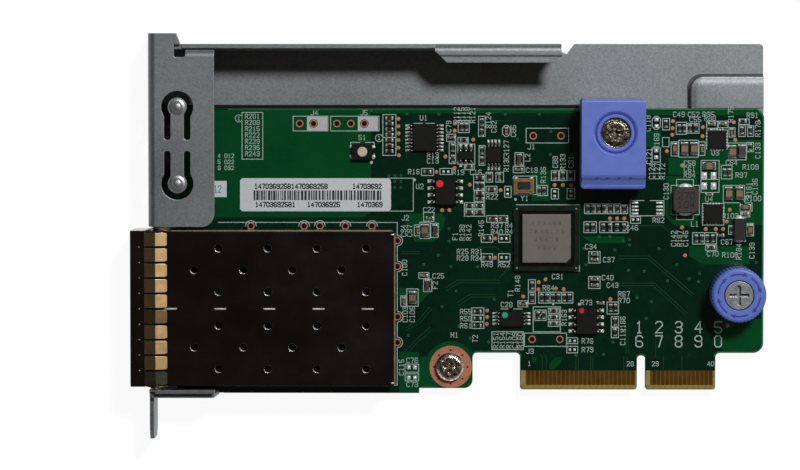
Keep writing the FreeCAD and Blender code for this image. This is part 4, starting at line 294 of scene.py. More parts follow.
class Shape:
    """Gathers closed forms into one mesh."""

    def __init__(self):
        self.mesh = bmesh.new()

    def loft(self, rings, closed=False):
        loops = [[self.mesh.verts.new(point) for point in ring] for ring in rings]
        pairs = list(zip(loops, loops[1:]))
        if closed:
            pairs.append((loops[-1], loops[0]))
        else:
            self.mesh.faces.new(list(reversed(loops[0])))
            self.mesh.faces.new(loops[-1])
        for lower, upper in pairs:
            count = len(lower)
            for index in range(count):
                after = (index + 1) % count
                self.mesh.faces.new((lower[index], lower[after], upper[after], upper[index]))

    def prism(self, outline, low, high):
        self.loft([[Vector((x, y, z)) for x, y in outline] for z in (low, high)])

    def block(self, low, high, bevel=0.0):
        """An upright block with its top edges cut back by bevel."""
        if not bevel:
            self.loft([rectangle(low, high, low.z), rectangle(low, high, high.z)])
            return
        inner_low = (low.x + bevel, low.y + bevel)
        inner_high = (high.x - bevel, high.y - bevel)
        self.loft([rectangle(low, high, low.z), rectangle(low, high, high.z - bevel),
                   rectangle(inner_low, inner_high, high.z)])

    def slab(self, centre, half, low, high):
        """An upright block about a 2-D centre, half its size given along and across."""
        self.block(Vector((*(centre - half), low)), Vector((*(centre + half), high)))

    def lathe(self, centre, profile, base=BOARD_TOP, steps=ROUND_STEPS, closed=False):
        """A round form from (radius, height over base) pairs in millimetres, going upward, or round a ring."""
        self.loft([circle(centre, radius * MM, base + height * MM, steps) for radius, height in profile], closed)

    def washer(self, centre, inner, outer, low, high, steps=ROUND_STEPS):
        self.loft([circle(centre, inner, low, steps), circle(centre, outer, low, steps),
                   circle(centre, outer, high, steps), circle(centre, inner, high, steps)], closed=True)

    def ribbon(self, points, width, low, high, closed=False):
        """A flat band along a 2-D line, mitred at its corners."""
        points = [Vector(point[:2]) for point in points]
        count = len(points)
        rings = []
        for index, point in enumerate(points):
            before = points[index - 1] if closed or index else None
            after = points[(index + 1) % count] if closed or index < count - 1 else None
            come = (point - before).normalized() if before else (after - point).normalized()
            leave = (after - point).normalized() if after else come
            middle = come + leave
            middle = middle.normalized() if middle.length > 1e-6 else come
            side = sideways(middle) * (width / 2 / max(0.5, middle.dot(come)))
            if not closed and index in (0, count - 1):
                point = point + (-come if index == 0 else leave) * (width * 0.45)
            left, right = point + side, point - side
            rings.append([Vector((*right, low)), Vector((*left, low)), Vector((*left, high)), Vector((*right, high))])
        self.loft(rings, closed=closed)

    def dome(self, centre, reach, low, high, steps=14, levels=4):
        """A rounded bead: reach is its half size along and across."""
        rings = []
        for level in range(levels):
            turn = math.pi / 2 * level / (levels - 0.4)
            rings.append([Vector((centre[0] + reach[0] * math.cos(turn) * math.cos(math.tau * step / steps),
                centre[1] + reach[1] * math.cos(turn) * math.sin(math.tau * step / steps),
                low + (high - low) * math.sin(turn))) for step in range(steps)])
        self.loft(rings)

    def wedge(self, start, way, profile, width):
        """Solder running down from a face: (distance, height) pairs going away from start along way."""
        side = sideways(way)
        rings = []
        for distance, height in profile:
            point = start + way * distance
            half = side * (width / 2 * (1 - 0.25 * distance / profile[-1][0] if profile[-1][0] else 1))
            low = BOARD_TOP + SINK * MM
            rings.append([Vector((*(point - half), low)), Vector((*(point + half), low)),
                Vector((*(point + half), height)), Vector((*(point - half), height))])
        self.loft(rings)

    def words(self, text, middle, height, line, low, high, stretch=0.9, upward=False):
        """Text in strokes about its middle, a 2-D point."""
        unit = height / 6
        width = ((len(text) - 1) * LETTER_STEP + 4) * unit * stretch
        turn = Matrix.Rotation(math.pi / 2 if upward else 0.0, 2)
        for place, letter in enumerate(text):
            for layer, stroke in enumerate(STROKES.get(letter, "").split("+")):
                if not stroke:
                    continue
                points = []
                for corner in stroke.split():
                    along = (place * LETTER_STEP + int(corner[0])) * unit * stretch - width / 2
                    points.append(Vector(middle[:2]) + turn @ Vector((along, (int(corner[1]) - 3) * unit)))
                lift = layer * LAYER_STEP
                if points[0] == points[-1]:
                    self.ribbon(points[:-1], line, low, high + lift, closed=True)
                else:
                    self.ribbon(points, line, low, high + lift)

    def arc(self, centre, radius, width, start, end, low, high, steps=10):
        turn = [start + (end - start) * step / steps for step in range(steps + 1)]
        self.ribbon([Vector(centre[:2]) + heading(angle) * radius for angle in turn], width, low, high)

    def finish(self, name, material, slot, smooth=False, body="card"):
        """Makes the piece, gives it its finish and lets it ride on its body."""
        bmesh.ops.recalc_face_normals(self.mesh, faces=self.mesh.faces)
        data = bpy.data.meshes.new(name)
        self.mesh.to_mesh(data)
        self.mesh.free()
        if smooth:
            data.shade_smooth()
            data.set_sharp_from_angle(angle=SMOOTH_ANGLE)
        data.materials.append(material)
        piece = bpy.data.objects.new(name, data)
        bpy.context.collection.objects.link(piece)
        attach(piece, body)
        return piece


def islands(node):
    """The box of each separate solid of a CAD node, as (low corner, high corner)."""
    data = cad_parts[node].data
    keys = [tuple(round(value / (0.001 * MM)) for value in vertex.co) for vertex in data.vertices]
    parent = {key: key for key in keys}

    def root(key):
        while parent[key] != key:
            parent[key] = parent[parent[key]]
            key = parent[key]
        return key

    for polygon in data.polygons:
        first = root(keys[polygon.vertices[0]])
        for index in polygon.vertices[1:]:
            parent[root(keys[index])] = first
            first = root(first)
    groups = {}
    for key, vertex in zip(keys, data.vertices):
        groups.setdefault(root(key), []).append(vertex.co)
    boxes = []
    for points in groups.values():
        low = Vector([min(point[axis] for point in points) for axis in range(3)])
        high = Vector([max(point[axis] for point in points) for axis in range(3)])
        boxes.append((low, high))
    return sorted(boxes, key=lambda box: tuple(round(value, 6) for value in (*box[0], *box[1])))


def middle_of(box):
    """The middle of a box."""
    return (box[0] + box[1]) / 2


def held(centre, radius, steps=72):
    """A circle's outline on the board, drawn in where the board ends."""
    board = surface_tree("circuit_board")
    points = []
    for index in range(steps):
        way = heading(math.tau * index / steps)
        reach = radius
        while not board.ray_cast(Vector((*(centre + way * (reach + EDGE_INSET)), above(1))), DOWN)[0]:
            reach -= 0.03 * MM
        points.append(centre + way * reach)
    return points


def surface_tree(node):
    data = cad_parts[node].data
    return BVHTree.FromPolygons([vertex.co for vertex in data.vertices],
        [list(polygon.vertices) for polygon in data.polygons])

# ---------------------------------------------------------------- what is printed and plated on the board

# Areas of copper under the mask, as outlines of (along, down) points.
POURS = (
    ((4.6, 12.1), (40.3, 12.1), (40.3, 30.8), (39, 31.9), (4.6, 31.9)),
    ((40.6, 12.1), (78, 12.1), (78, 12.75), (40.6, 12.75)),
    ((90.6, 12.1), (111.3, 12.1), (112.2, 13.1), (90.6, 13.1)),
    ((46.6, 31.2), (53.3, 31.2), (54, 32), (53.8, 33.3), (52, 36.4), (48.4, 36.4), (46.6, 33)),
    ((45.5, 44.9), (51, 45.2), (51, 46), (49.3, 47.8), (45.5, 47.8)),
    ((45.5, 56.8), (49.2, 56.8), (49.2, 64.2), (45.5, 64.2)),
    ((49.3, 57.6), (52.2, 57.6), (52.2, 63.1), (49.3, 63.1)),
    ((69.9, 23.2), (73.2, 23.2), (73.2, 28.8), (69.9, 28.8)),
    ((91, 15.9), (93.6, 15.9), (93.6, 18.9), (91, 18.9)),
    ((95, 20.9), (100.6, 20.9), (100.6, 24), (95, 24)),
    ((94.6, 24.3), (100.4, 24.3), (100.4, 33.4), (96.2, 33.4), (94.6, 31.8)),
    ((101, 17.6), (112.25, 17.6), (112.25, 33.2), (102.6, 33.2), (101, 31.6)),
    ((98.9, 37.2), (110, 37.2), (110, 40.5), (101.2, 40.5), (98.9, 39)),
    ((104, 50.6), (112.25, 50.6), (112.25, 55.2), (111.1, 56.5), (105.3, 56.5), (104, 55.2)),
    ((79.2, 35.4), (87, 35.4), (87, 36.6), (80.8, 36.6)),
    ((86, 12.1), (90.4, 12.1), (90.4, 12.9), (86, 12.9)),
    ((78.58, 29.6), (78.82, 29.6), (78.82, 40.6), (78.58, 40.6)),
)
TRACES = (
    ((86, 39), (91.5, 39), (99.7, 46)), ((86, 39.5), (91.3, 39.5), (99.3, 46.3)),
    ((86, 44), (92.5, 44), (98.5, 49.5)), ((86, 44.5), (92.3, 44.5), (98.1, 49.8)),
    ((46.8, 52.3), (49, 51), (51, 48.5)), ((46.8, 52.8), (49.3, 51.4), (51.5, 48.8)),
    ((46.2, 57), (48.9, 54.2), (51.2, 52.2)), ((46.6, 57.4), (49.3, 54.6), (51.6, 52.6)),
    ((54, 44.9), (56.2, 43.5), (64, 43.5)), ((54.3, 45.4), (56.4, 44), (64, 44)),
    ((56.2, 47.6), (58.6, 46.1), (63.2, 46.1)), ((56.5, 48.1), (58.8, 46.6), (63.2, 46.6)),
    ((88.5, 33.4), (94, 33.4), (95, 34.5)), ((62.5, 14.1), (65.5, 14.1)), ((60.3, 15), (61.6, 16.3)),
    ((46, 38.2), (49.3, 38.2)), ((46, 38.6), (49.3, 38.6)), ((87.3, 51.5), (87.3, 57)),
    ((87.8, 51.5), (87.8, 57)), ((71.6, 57.2), (71.6, 60)), ((72.4, 57.2), (72.4, 60)),
    ((76.1, 57.4), (76.1, 60)), ((79.2, 57.4), (79.2, 60)), ((82, 57), (82, 60)),
    ((92.8, 51), (92.8, 57.5), (91.9, 58.6)), ((96, 57.6), (96, 60)), ((99, 57.2), (99, 60)),
    ((67.2, 38.6), (64.8, 38.6), (63.4, 37.4), (60, 37.4)), ((66.4, 40.2), (65, 41.9), (64, 43)),
    ((62, 20.3), (63.2, 21.5), (63.2, 23.3)), ((48, 16.4), (46.9, 17.4), (46.9, 21)),
    ((78.8, 30.6), (78.8, 26.4), (79.9, 25.3)), ((88.4, 25.6), (90.2, 23.8), (90.2, 19.4)),
)
TENTED_VIAS = (
    (54.7, 34), (54.7, 36.3), (55, 41), (60, 41), (56, 45.5), (63, 47), (56.5, 52), (47.2, 53.7),
    (82.3, 35.4), (84.3, 35.4), (86.8, 36.2), (87.9, 36), (87.9, 37), (85.2, 37.9), (93.3, 37.7), (96.6, 40.6),
    (100.8, 42.2), (98.9, 43.2), (100.6, 43.7), (87.7, 41.6), (92, 47.4), (91, 50.5), (111.2, 40.2),
    (65, 12.9), (71.3, 12.9), (52.8, 12.9), (46.9, 12.9), (73.4, 16.1), (67.3, 17.5), (73.3, 20.3), (77.2, 20.3),
    (43.6, 24.2), (44.7, 24.2), (45.8, 24.2), (43.6, 25.3), (44.7, 25.3), (45.8, 25.3), (43.6, 26.4), (44.7, 26.4),
    (45.8, 26.4), (70, 58.1), (72.9, 58.3), (75.6, 58.2), (78.1, 57.4), (80.6, 55.9), (83.2, 57.2), (84.9, 54.9),
    (93.4, 58.2), (96.6, 58.4), (99.4, 58.3), (102.4, 58.2), (66.9, 36.4), (66.9, 34.2), (79.5, 37.7), (79.9, 40.6),
    (90.6, 41.8), (94.9, 43.6), (89.3, 46.7), (52.7, 38.9), (53.4, 48.4), (58.6, 54.2), (62, 54.9), (50, 40.6),
)
# Bare copper test points, and the (radius, height) steps of their domed form.
TEST_POINT_PROFILE = ((0.36, SINK), (0.36, 0.024), (0.32, PAD_HEIGHT), (0.18, PAD_HEIGHT + 0.004))
TEST_POINTS = (
    (106, 51.8),
    (45.35, 13.8), (45.35, 15.15), (45.4, 16.45), (45.35, 17.7), (45.35, 19.1), (45.45, 20.5), (55.75, 14.65),
    (55.7, 15.95), (54, 20.7), (58.5, 25.9), (59.1, 17.6), (52.35, 23.55), (55.65, 22.85), (53.4, 30.6),
    (54.75, 30.6), (64.15, 26.9), (74.1, 25.95), (75.6, 25.95), (77.15, 25.95), (95.8, 14.2), (95.75, 15.5),
    (95.7, 16.7), (101.3, 15.3), (101.25, 16.95), (107, 14.4), (107.25, 17.65), (94.7, 19.7), (97.55, 22.35),
    (106.3, 30.5), (105.75, 32.65), (97.55, 33.75), (101.9, 34.05), (103.75, 34.05), (105.1, 34.05), (98.1, 38.9),
    (84.3, 32.1), (85.6, 32.1), (86.9, 32.1), (63.15, 35.8), (63.15, 39.35), (68.35, 46.5), (71.2, 43.85),
    (72.45, 43.35), (71.15, 45.2), (74.35, 45), (75.8, 45.15), (84.4, 47), (61.7, 49.1), (61.7, 50.3),
    (61.65, 51.6), (43.7, 13.9), (43.7, 15.9), (43.7, 18.6),
)
# Tinned pads with nothing fitted: how far each pad of a pair is from its middle along and down,
# half a pad's size along and down, and the middles.
BARE_PADS = (
    (0.43, 0, 0.2, 0.24, ((54.1, 23.5), (64.8, 35.8), (64.8, 39.3), (77.4, 54.7), (77.4, 56.3), (89, 32.3))),
    (0.58, 0, 0.33, 0.36, ((47.85, 59.6), (47.85, 61.5))),
    (0.85, 0, 0.5, 0.62, ((102.45, 24.2), (102.45, 26.1))),
    (0, 0.42, 0.24, 0.2, ((65.45, 27.2), (74.1, 27.55), (77.1, 27.5))),
    (0, 0.62, 0.36, 0.32, ((92.8, 14.5), (92.75, 20.2))),
    (2.25, 0, 0.6, 0.17, ((91.15, 29.2), (91.15, 29.9), (91.15, 30.55), (91.15, 31.2))),
)
# Plated holes of the two jumpers, the two small headers and the edge of the module cage.
HOLE_RADIUS, HOLE_RING_RADIUS = 0.5, 0.68
PLATED_HOLES = ((27.2, 14.65), (29.75, 14.65), (34.05, 14.65), (36.6, 14.65), (39.1, 14.65), (70.15, 16.9),
                (75.25, 16.9), (70, 54.4), (75.1, 54.4))
CAGE_PINS_REAR = ((45.15, 36.2), (45.15, 40.95), (45.2, 50.25), (45.15, 55))
CAGE_PINS_TOP = ((18.2, 33.5), (28, 33.5), (30.9, 33.5), (35.6, 33.5), (40.5, 33.5))
SCREW_RING = (55, 59.52)
SCREW_RING_OUTER = 3.9
SCREW_RING_INNER = 2.35
SCREW_RING_VIAS = 3.08
SCREW_RING_MASK = 4.75
RING_HOLES = 8

# Solder mask over the roots of the edge contacts: where it starts and ends along, and its reach down.
TAB_MASKS = ((67.9, 89.25), (90.95, 103.7))
TAB_MASK_TOP = 57.6
TAB_MASK_END = 60.15
TAB_MASK_HEIGHT = 0.066
TAB_END = 62.95
KEY_SLOT = 90.1
TAB_POURS = (
    ((73.3, 60), (73.1, 59.3), (73.7, 58.3), (74.4, 57.7), (75.6, 57.7), (75.2, 58.7), (74.3, 59.8)),
    ((69.9, 57.7), (71, 57.7), (70.8, 58.3), (70.3, 58.7), (69.9, 58.3)),
)
TAB_TRACES = (71.9, 72.6, 78.1, 78.5, 80.8, 81.2, 86.9, 87.5, 94.2, 97.6)
TAB_NUMBERS = ((69.5, 58.9, "1"), (88.1, 58.9, "28"), (92.7, 58.9, "29"), (102.9, 58.9, "40"))

# Printed outlines as (along, along, down, down).
OUTLINES = (
    (42.5, 44.9, 13, 20.5), (56.35, 58.4, 14.1, 16.3), (54.2, 55.9, 16.6, 17.9), (56.3, 58.2, 17.2, 18.2),
    (54.7, 55.9, 18.2, 20.9), (54.7, 55.9, 21.1, 22), (56.3, 59.4, 18.4, 22.1), (57.5, 59.3, 22.1, 23.1),
    (60.1, 61.3, 13.3, 17), (60.2, 61.3, 18.7, 22.3), (59.2, 61.2, 24, 26.9), (59.3, 61.2, 27, 29),
    (57.5, 61.2, 29.2, 30.3), (57.5, 61.2, 30.5, 31.7), (61.5, 62.7, 23.6, 25.4), (63.3, 64.7, 23.6, 25.4),
    (61.5, 63.5, 26.2, 27.4), (64.9, 66.1, 26.2, 28.2), (66.8, 68.4, 20, 22.3), (66.5, 68.5, 22.5, 23.7),
    (66.5, 70.8, 24.3, 27.7), (70.95, 72.8, 26, 27.9), (73.5, 74.8, 23.3, 25.1), (75, 76.3, 23.3, 25.1),
    (76.5, 77.8, 23.3, 25.1), (73.5, 74.8, 26.6, 28.5), (76.4, 77.8, 26.6, 28.5), (68.85, 76.65, 15.5, 18.2),
    (49.6, 51.8, 22.9, 24.2), (53, 55.2, 22.9, 24), (61.6, 65.5, 31.6, 32.8), (60.6, 62.7, 35.1, 36.5),
    (63.8, 65.9, 35.1, 36.5), (60.6, 62.7, 38.6, 40), (63.8, 65.9, 38.6, 40), (69.3, 70.6, 43.4, 45.5),
    (69.3, 70.6, 45.8, 47.8), (71.2, 77.5, 45.7, 47.7), (70.2, 75.2, 48.4, 53), (70.5, 72.6, 49, 50.9),
    (73, 75, 48.7, 49.6), (73, 75, 49.9, 50.8), (73, 75, 51.1, 52), (68.6, 76.35, 53.25, 55.7),
    (62.6, 68.4, 53, 56.3), (76.4, 78.4, 54.1, 55.2), (76.4, 78.4, 55.7, 56.9), (83.8, 85.9, 47.5, 49.7),
    (84.6, 85.9, 50.2, 52.1), (84.6, 85.9, 52.25, 54.1), (80.4, 82.5, 38.2, 40.3), (80.4, 82.5, 42.8, 45),
    (58.9, 61.1, 48.6, 49.9), (58.9, 61.1, 49.95, 51.15), (58.9, 61.1, 51.2, 52.4), (46.6, 49.1, 59, 60.5),
    (46.6, 49.1, 60.8, 62.1), (49.1, 51, 42.1, 43.2), (50, 51.5, 43.3, 45.6), (46.9, 49, 45.1, 48.3),
    (45.8, 46.8, 46.4, 48.3), (48.3, 49.3, 33.3, 35.3), (49.3, 51.2, 32.8, 35.8), (51.3, 52.7, 33, 35.6),
    (50, 51.9, 31, 32.6), (67.4, 69.2, 47.3, 48.4), (93.9, 95.2, 13.7, 15.8), (96.4, 98.3, 14.4, 16.6),
    (98.4, 100.6, 14.6, 16.4), (102, 104, 14.2, 15.5), (104.1, 105.9, 14.2, 15.4), (106.1, 107.2, 15.4, 17.1),
    (107.9, 109.8, 13.8, 14.8), (107.9, 109.1, 14.9, 17), (109.5, 110.6, 15, 17), (93.9, 95.1, 17.2, 18.9),
    (92, 93.5, 19.1, 21.7), (95.5, 96.8, 18, 20.6), (96.9, 100.5, 17.7, 20.8), (100.6, 101.7, 18, 20.5),
    (102, 105.8, 15.8, 19.3), (106, 109.3, 18.2, 21.3), (109.4, 110.6, 18.1, 19.8), (101, 104.3, 21.4, 27.3),
    (104.7, 106.7, 22.3, 24.8), (95.5, 100.7, 26, 31.4), (96.5, 99.6, 24.9, 32.3), (105.1, 109, 26, 29.2),
    (101.3, 105.2, 29.3, 33.3), (99.5, 103.9, 34.7, 36.8), (101.9, 103.9, 37, 38), (106.1, 107.1, 33.4, 35),
    (107.2, 109.2, 32, 36.3), (109.5, 110.7, 33, 35.3), (108.2, 110.4, 29.2, 30.7), (108.3, 110, 30.9, 31.8),
    (88.1, 89.9, 31.75, 33), (79.6, 83.6, 29.4, 31.2), (83.8, 85, 29.4, 31.2), (85.1, 86.2, 29.4, 31.2),
    (86.3, 87.5, 29.6, 31.2), (79.5, 81.8, 32.7, 34.7), (82.4, 87.6, 32.7, 34.7), (26, 32.4, 13.3, 16),
    (32.9, 41.8, 13.3, 16), (16.6, 20.4, 12.6, 21.2),
)
# Printed outlines with cut corners, in the same order.
CUT_OUTLINES = ((64.5, 65.9, 15, 17), (92, 93.5, 13.3, 15.7))
# Other printed lines.
LINES = (
    ((67, 29.58), (78.7, 29.58)), ((78.7, 40.8), (78.7, 41.8), (77.9, 41.8)), ((66.6, 30.3), (66.6, 31.6)),
    ((43.5, 24.7), (48.1, 24.7), (48.1, 30.75), (43.5, 30.75)),
    ((12.2, 32.85), (45.15, 32.85), (45.15, 35.1)), ((45.15, 37.3), (45.15, 39.8)),
    ((45.15, 42.1), (45.15, 49.1)), ((45.15, 51.4), (45.15, 53.9)), ((45.15, 56.1), (45.15, 62.9), (43.6, 62.9)),
    ((88, 28.8), (90.5, 28.8)), ((91.7, 28.8), (94.2, 28.8), (94.2, 31.6), (88, 31.6), (88, 28.8)),
    ((48.2, 14.6), (49.8, 14.6)), ((50.4, 14.6), (52, 14.6)), ((64.2, 48.8), (65.6, 48.8)),
    ((66.6, 48.8), (68.2, 48.8)), ((42.5, 17.2), (44.9, 17.2)), ((59.2, 25.4), (61.2, 25.4)),
    ((81.6, 29.4), (81.6, 31.2)), ((84.6, 32.7), (84.6, 34.7)), ((101, 24.9), (104.3, 24.9)),
    ((73.3, 45.7), (73.3, 47.7)), ((75.4, 45.7), (75.4, 47.7)), ((63.6, 31.6), (63.6, 32.8)),
    ((59.3, 29.2), (59.3, 30.3)), ((59.3, 30.5), (59.3, 31.7)), ((101.7, 34.7), (101.7, 36.8)),
    ((36.6, 19), (36.6, 18.1), (38.3, 18.1)), ((39.3, 18.1), (40.9, 18.1), (40.9, 19)),
    ((36.6, 20.2), (36.6, 21.1), (40.9, 21.1), (40.9, 20.2)), ((70.9, 50.6), (72.2, 49.3)),
)
FILLED = ((28.55, 32.3, 13.4, 15.95, 29.75), (37.9, 41.6, 13.4, 15.95, 39.1))
# Where the reference numbers stand, and their letters in the same order: first those that read along
# the card, then those that read upward.
LABELS_ALONG = (
    (50, 13.6), (51.7, 20.4), (51.7, 21.5), (48.2, 23.5), (56.4, 23.6), (59.6, 23.6), (49.3, 26.2), (62.6, 28.1),
    (69.9, 23.2), (68.6, 28.4), (69.8, 18.9), (46.6, 32), (51, 30.5), (57.2, 38.2), (57.2, 39.4), (59.8, 38.2),
    (59.8, 39.4), (63.5, 33.4), (63.5, 34.6), (66.1, 33.4), (66.1, 34.5), (61.7, 40.6), (64.8, 40.6), (52.7, 42.7),
    (57.8, 49.3), (57.8, 50.6), (57.8, 51.9), (55.7, 53.6), (65.3, 48), (69.6, 56.6), (74.7, 42.8), (73, 44.9),
    (80.8, 37.3), (84.1, 39.7), (83.9, 43), (84.8, 44.4), (86.9, 46), (86.9, 47.2), (80, 47.6), (80.2, 54.7),
    (80.2, 56.3), (88.4, 33.8), (93.2, 32.4), (96.9, 12.95), (99.6, 12.95), (102.3, 12.95), (99.9, 13.9),
    (102.6, 13.65), (110.4, 13.1), (103.6, 20), (98.9, 21.9), (98.9, 23), (98.9, 24.1), (106.6, 21.8), (108.4, 24.1),
    (110.6, 28.4), (102.5, 28.5), (99.9, 33.1), (106.4, 31.6), (105.8, 36.4), (103.2, 38.6), (106.4, 38.8),
    (38.7, 17.2), (29.9, 12.65), (39, 12.65), (47.9, 62.75), (47.9, 58.3), (110.1, 22.6),
)
LABELS_UPWARD = (
    (54.6, 15.2), (56, 13.1), (57, 13.1), (58, 13.1), (59, 13.1), (61.9, 14), (62.9, 15.2), (66.5, 16), (65.2, 19.2),
    (65.2, 22), (69.1, 20.9), (74.2, 21.7), (75.6, 21.7), (77.1, 21.7), (72, 24.1), (46.3, 34.4), (47.4, 34.4),
    (55.8, 35.4), (57.1, 34.7), (58.3, 34.7), (60.6, 33.9), (46.5, 41.2), (52.1, 44.4), (46.6, 49.8), (47.9, 49.8),
    (67.3, 44.1), (66, 45.9), (63.3, 54.6), (64.5, 54.6), (65.7, 54.6), (66.8, 54.6), (67.8, 54.6), (75.9, 50.4),
    (86.7, 51.6), (86.7, 54), (45.9, 59.6), (91.2, 14.6), (91.4, 20.6), (92.8, 17.9), (91.9, 23.4), (92.9, 23.4),
    (93.9, 23.4), (94.6, 27.1), (106.4, 12.95), (111.4, 15.6), (111.4, 19.6), (109.8, 26.9), (110.9, 26.2), (108, 38.2),
    (110.4, 38), (96, 35.8), (97.1, 35.8), (98.2, 35.8), (59.5, 54.3),
)
LETTERS_ALONG = "URCRRCURCYJJCRRRRRRRRRRCRRRHCJCRCCCCRRRRRCRCCRCRRUCCRCRRULRCCRSJJCCR"
LETTERS_UPWARD = "CRRRRRCCRRLCRCRCCFRRRCFCCRTRRRCRRRCCCCRCCRCRRCRCRCCRCT"
LIST_PLACE, LIST_ROWS = 18.5, (13.3, 14.45, 15.6, 16.75, 17.9, 19.05, 20.2)
SMALL_LIST_PLACE, SMALL_LIST_ROWS = 13.6, (20.6, 21.7, 22.8)
BIG_NUMBERS = ((97, 52.15, "1 2 3 4 5"), (97, 54.75, "6 7 8 9 0"))
BIG_NUMBER_HEIGHT = 2.05
LID_ROWS = ("1 2 3 4 5 6", "7 8 9 0 1 2 3", "4 5 6 7 8", "9 0 1 2")
CIRCLED = ((16, 13.7), (41.8, 17.3))
SILK_DOTS = ((40.4, 21.8, 0.3), (48.3, 25, 0.28), (78.7, 47.9, 0.28), (66.9, 28.6, 0.25), (63.6, 19.1, 0.2),
             (52.6, 20.9, 0.18), (47.2, 15.4, 0.25), (111.6, 14.1, 0.2), (73.9, 47.9, 0.2))

# Strokes of the letters and digits on a grid 4 wide and 6 high, as corner points.
STROKES = {
    "0": "10 30 41 45 36 16 05 01 10", "1": "15 26 20+10 30", "2": "05 16 36 45 44 00 40",
    "3": "05 16 36 45 44 33 13+33 42 41 30 10 01", "4": "30 36 02 42", "5": "46 06 03 33 42 41 30 10 01",
    "6": "45 36 16 05 01 10 30 41 42 33 03", "7": "06 46 20",
    "8": "13 04 05 16 36 45 44 33 13 02 01 10 30 41 42 33", "9": "01 10 30 41 45 36 16 05 04 13 43",
    "A": "00 04 26 44 40+02 42", "C": "45 36 16 05 01 10 30 41", "F": "00 06 46+03 33", "H": "00 06+40 46+03 43",
    "J": "46 41 30 10 01", "L": "06 00 40", "R": "00 06 36 45 44 33 03+23 40", "S": "45 36 16 05 04 42 41 30 10 01",
    "T": "06 46+26 20", "U": "06 01 10 30 41 46", "Y": "06 23 46+23 20",
}
LETTER_STEP = 5.9


# ---------------------------------------------------------------- shader effects

def new_group(name, inputs, outputs):
    """An empty node group with named sockets: (kind, name, default) in and (kind, name) out."""
    group = bpy.data.node_groups.new(name, "ShaderNodeTree")
    for kind, label, default in inputs:
        socket = group.interface.new_socket(name=label, in_out="INPUT", socket_type=f"NodeSocket{kind}")
        socket.default_value = default
    for kind, label in outputs:
        group.interface.new_socket(name=label, in_out="OUTPUT", socket_type=f"NodeSocket{kind}")
    return group, group.nodes.new("NodeGroupInput"), group.nodes.new("NodeGroupOutput")


def plug(tree, socket, value):
    """Gives a socket a number, a colour or another node's output."""
    if isinstance(value, bpy.types.NodeSocket):
        tree.links.new(value, socket)
    else:
        socket.default_value = value


def fill(tree, node, **values):
    """Fills a node's inputs, with _ for the spaces in their names."""
    for label, value in values.items():
        plug(tree, node.inputs[label.replace("_", " ")], value)


def new_node(tree, kind, *values, **named):
    """A shader node with its inputs filled in order or by name."""
    node = tree.nodes.new(f"ShaderNode{kind}")
    for socket, value in zip(node.inputs, values):
        plug(tree, socket, value)
    fill(tree, node, **named)
    return node


def math_node(tree, operation, *values):
    """A Math node whose inputs are numbers or sockets."""
    node = new_node(tree, "Math", *values)
    node.operation = operation
    return node.outputs[0]


def times(tree, first, second):
    return math_node(tree, "MULTIPLY", first, second)


def mix_node(tree, share, first, second):
    """A colour mix whose inputs are colours or sockets."""
    node = tree.nodes.new("ShaderNodeMix")
    node.data_type = "RGBA"
    for index, value in ((0, share), (6, first), (7, second)):
        plug(tree, node.inputs[index], value)
    return node.outputs[2]


def spread(tree, value, low, high, out_low=0.0, out_high=1.0):
    """Spreads the values from low to high over another range."""
    return new_node(tree, "MapRange", value, low, high, out_low, out_high).outputs[0]


def object_place(tree):
    """Places on the object, in its own frame."""
    return tree.nodes.new("ShaderNodeTexCoord").outputs["Object"]


def stretched(tree, along, across, upward):
    """Places on the object, stretched on each axis for brushed and drawn finishes."""
    return new_node(tree, "Mapping", object_place(tree), Scale=(along, across, upward)).outputs[0]


def noise_node(tree, place, scale, detail=2.0, rough=0.5):
    return new_node(tree, "TexNoise", Vector=place, Scale=scale, Detail=detail, Roughness=rough).outputs["Fac"]


def mottle_group():
    """Cloudy tone with fine grain on top: a colour, a roughness and a height."""
    group, given, result = new_group(
        "Mottle",
        [("Float", "Scale", 600.0), ("Float", "Grain scale", 6000.0), ("Color", "Deep", (0, 0, 0, 1)),
         ("Color", "Light", (1, 1, 1, 1)), ("Float", "Smooth", 0.3), ("Float", "Rough", 0.5)],
        [("Color", "Color"), ("Float", "Roughness"), ("Float", "Height")])
    place = object_place(group)
    cloud = noise_node(group, place, given.outputs["Scale"], 4.0, 0.6)
    grain = noise_node(group, place, given.outputs["Grain scale"], 2.0, 0.7)
    both = math_node(group, "ADD", times(group, cloud, 0.6), times(group, grain, 0.4))
    fill(group, result, Height=grain,
         Color=mix_node(group, spread(group, both, 0.36, 0.64), given.outputs["Deep"], given.outputs["Light"]),
         Roughness=spread(group, cloud, 0.3, 0.7, given.outputs["Smooth"], given.outputs["Rough"]))
    return group


def edge_group():
    """Where an edge turns: a mask for wear and painted sheen, and a normal that rounds the edge off."""
    group, given, result = new_group(
        "Edge wear and sheen", [("Float", "Radius", 0.0001)], [("Float", "Mask"), ("Vector", "Normal")])
    bevel = new_node(group, "Bevel", Radius=given.outputs["Radius"])
    bevel.samples = 4
    shape = group.nodes.new("ShaderNodeNewGeometry")
    dot = new_node(group, "VectorMath", bevel.outputs[0], shape.outputs["Normal"])
    dot.operation = "DOT_PRODUCT"
    turned = math_node(group, "SUBTRACT", 1.0, dot.outputs["Value"])
    fill(group, result, Mask=spread(group, turned, 0.01, 0.2), Normal=bevel.outputs[0])
    return group


def brushed_group():
    """Fine lines drawn along one axis, for rolled and brushed metal."""
    group, given, result = new_group(
        "Rolled lines", [("Float", "Scale", 900.0)], [("Float", "Lines"), ("Float", "Height")])
    lines = noise_node(group, stretched(group, 0.06, 1.0, 1.0), given.outputs["Scale"], 3.0, 0.6)
    fill(group, result, Lines=spread(group, lines, 0.3, 0.7), Height=lines)
    return group


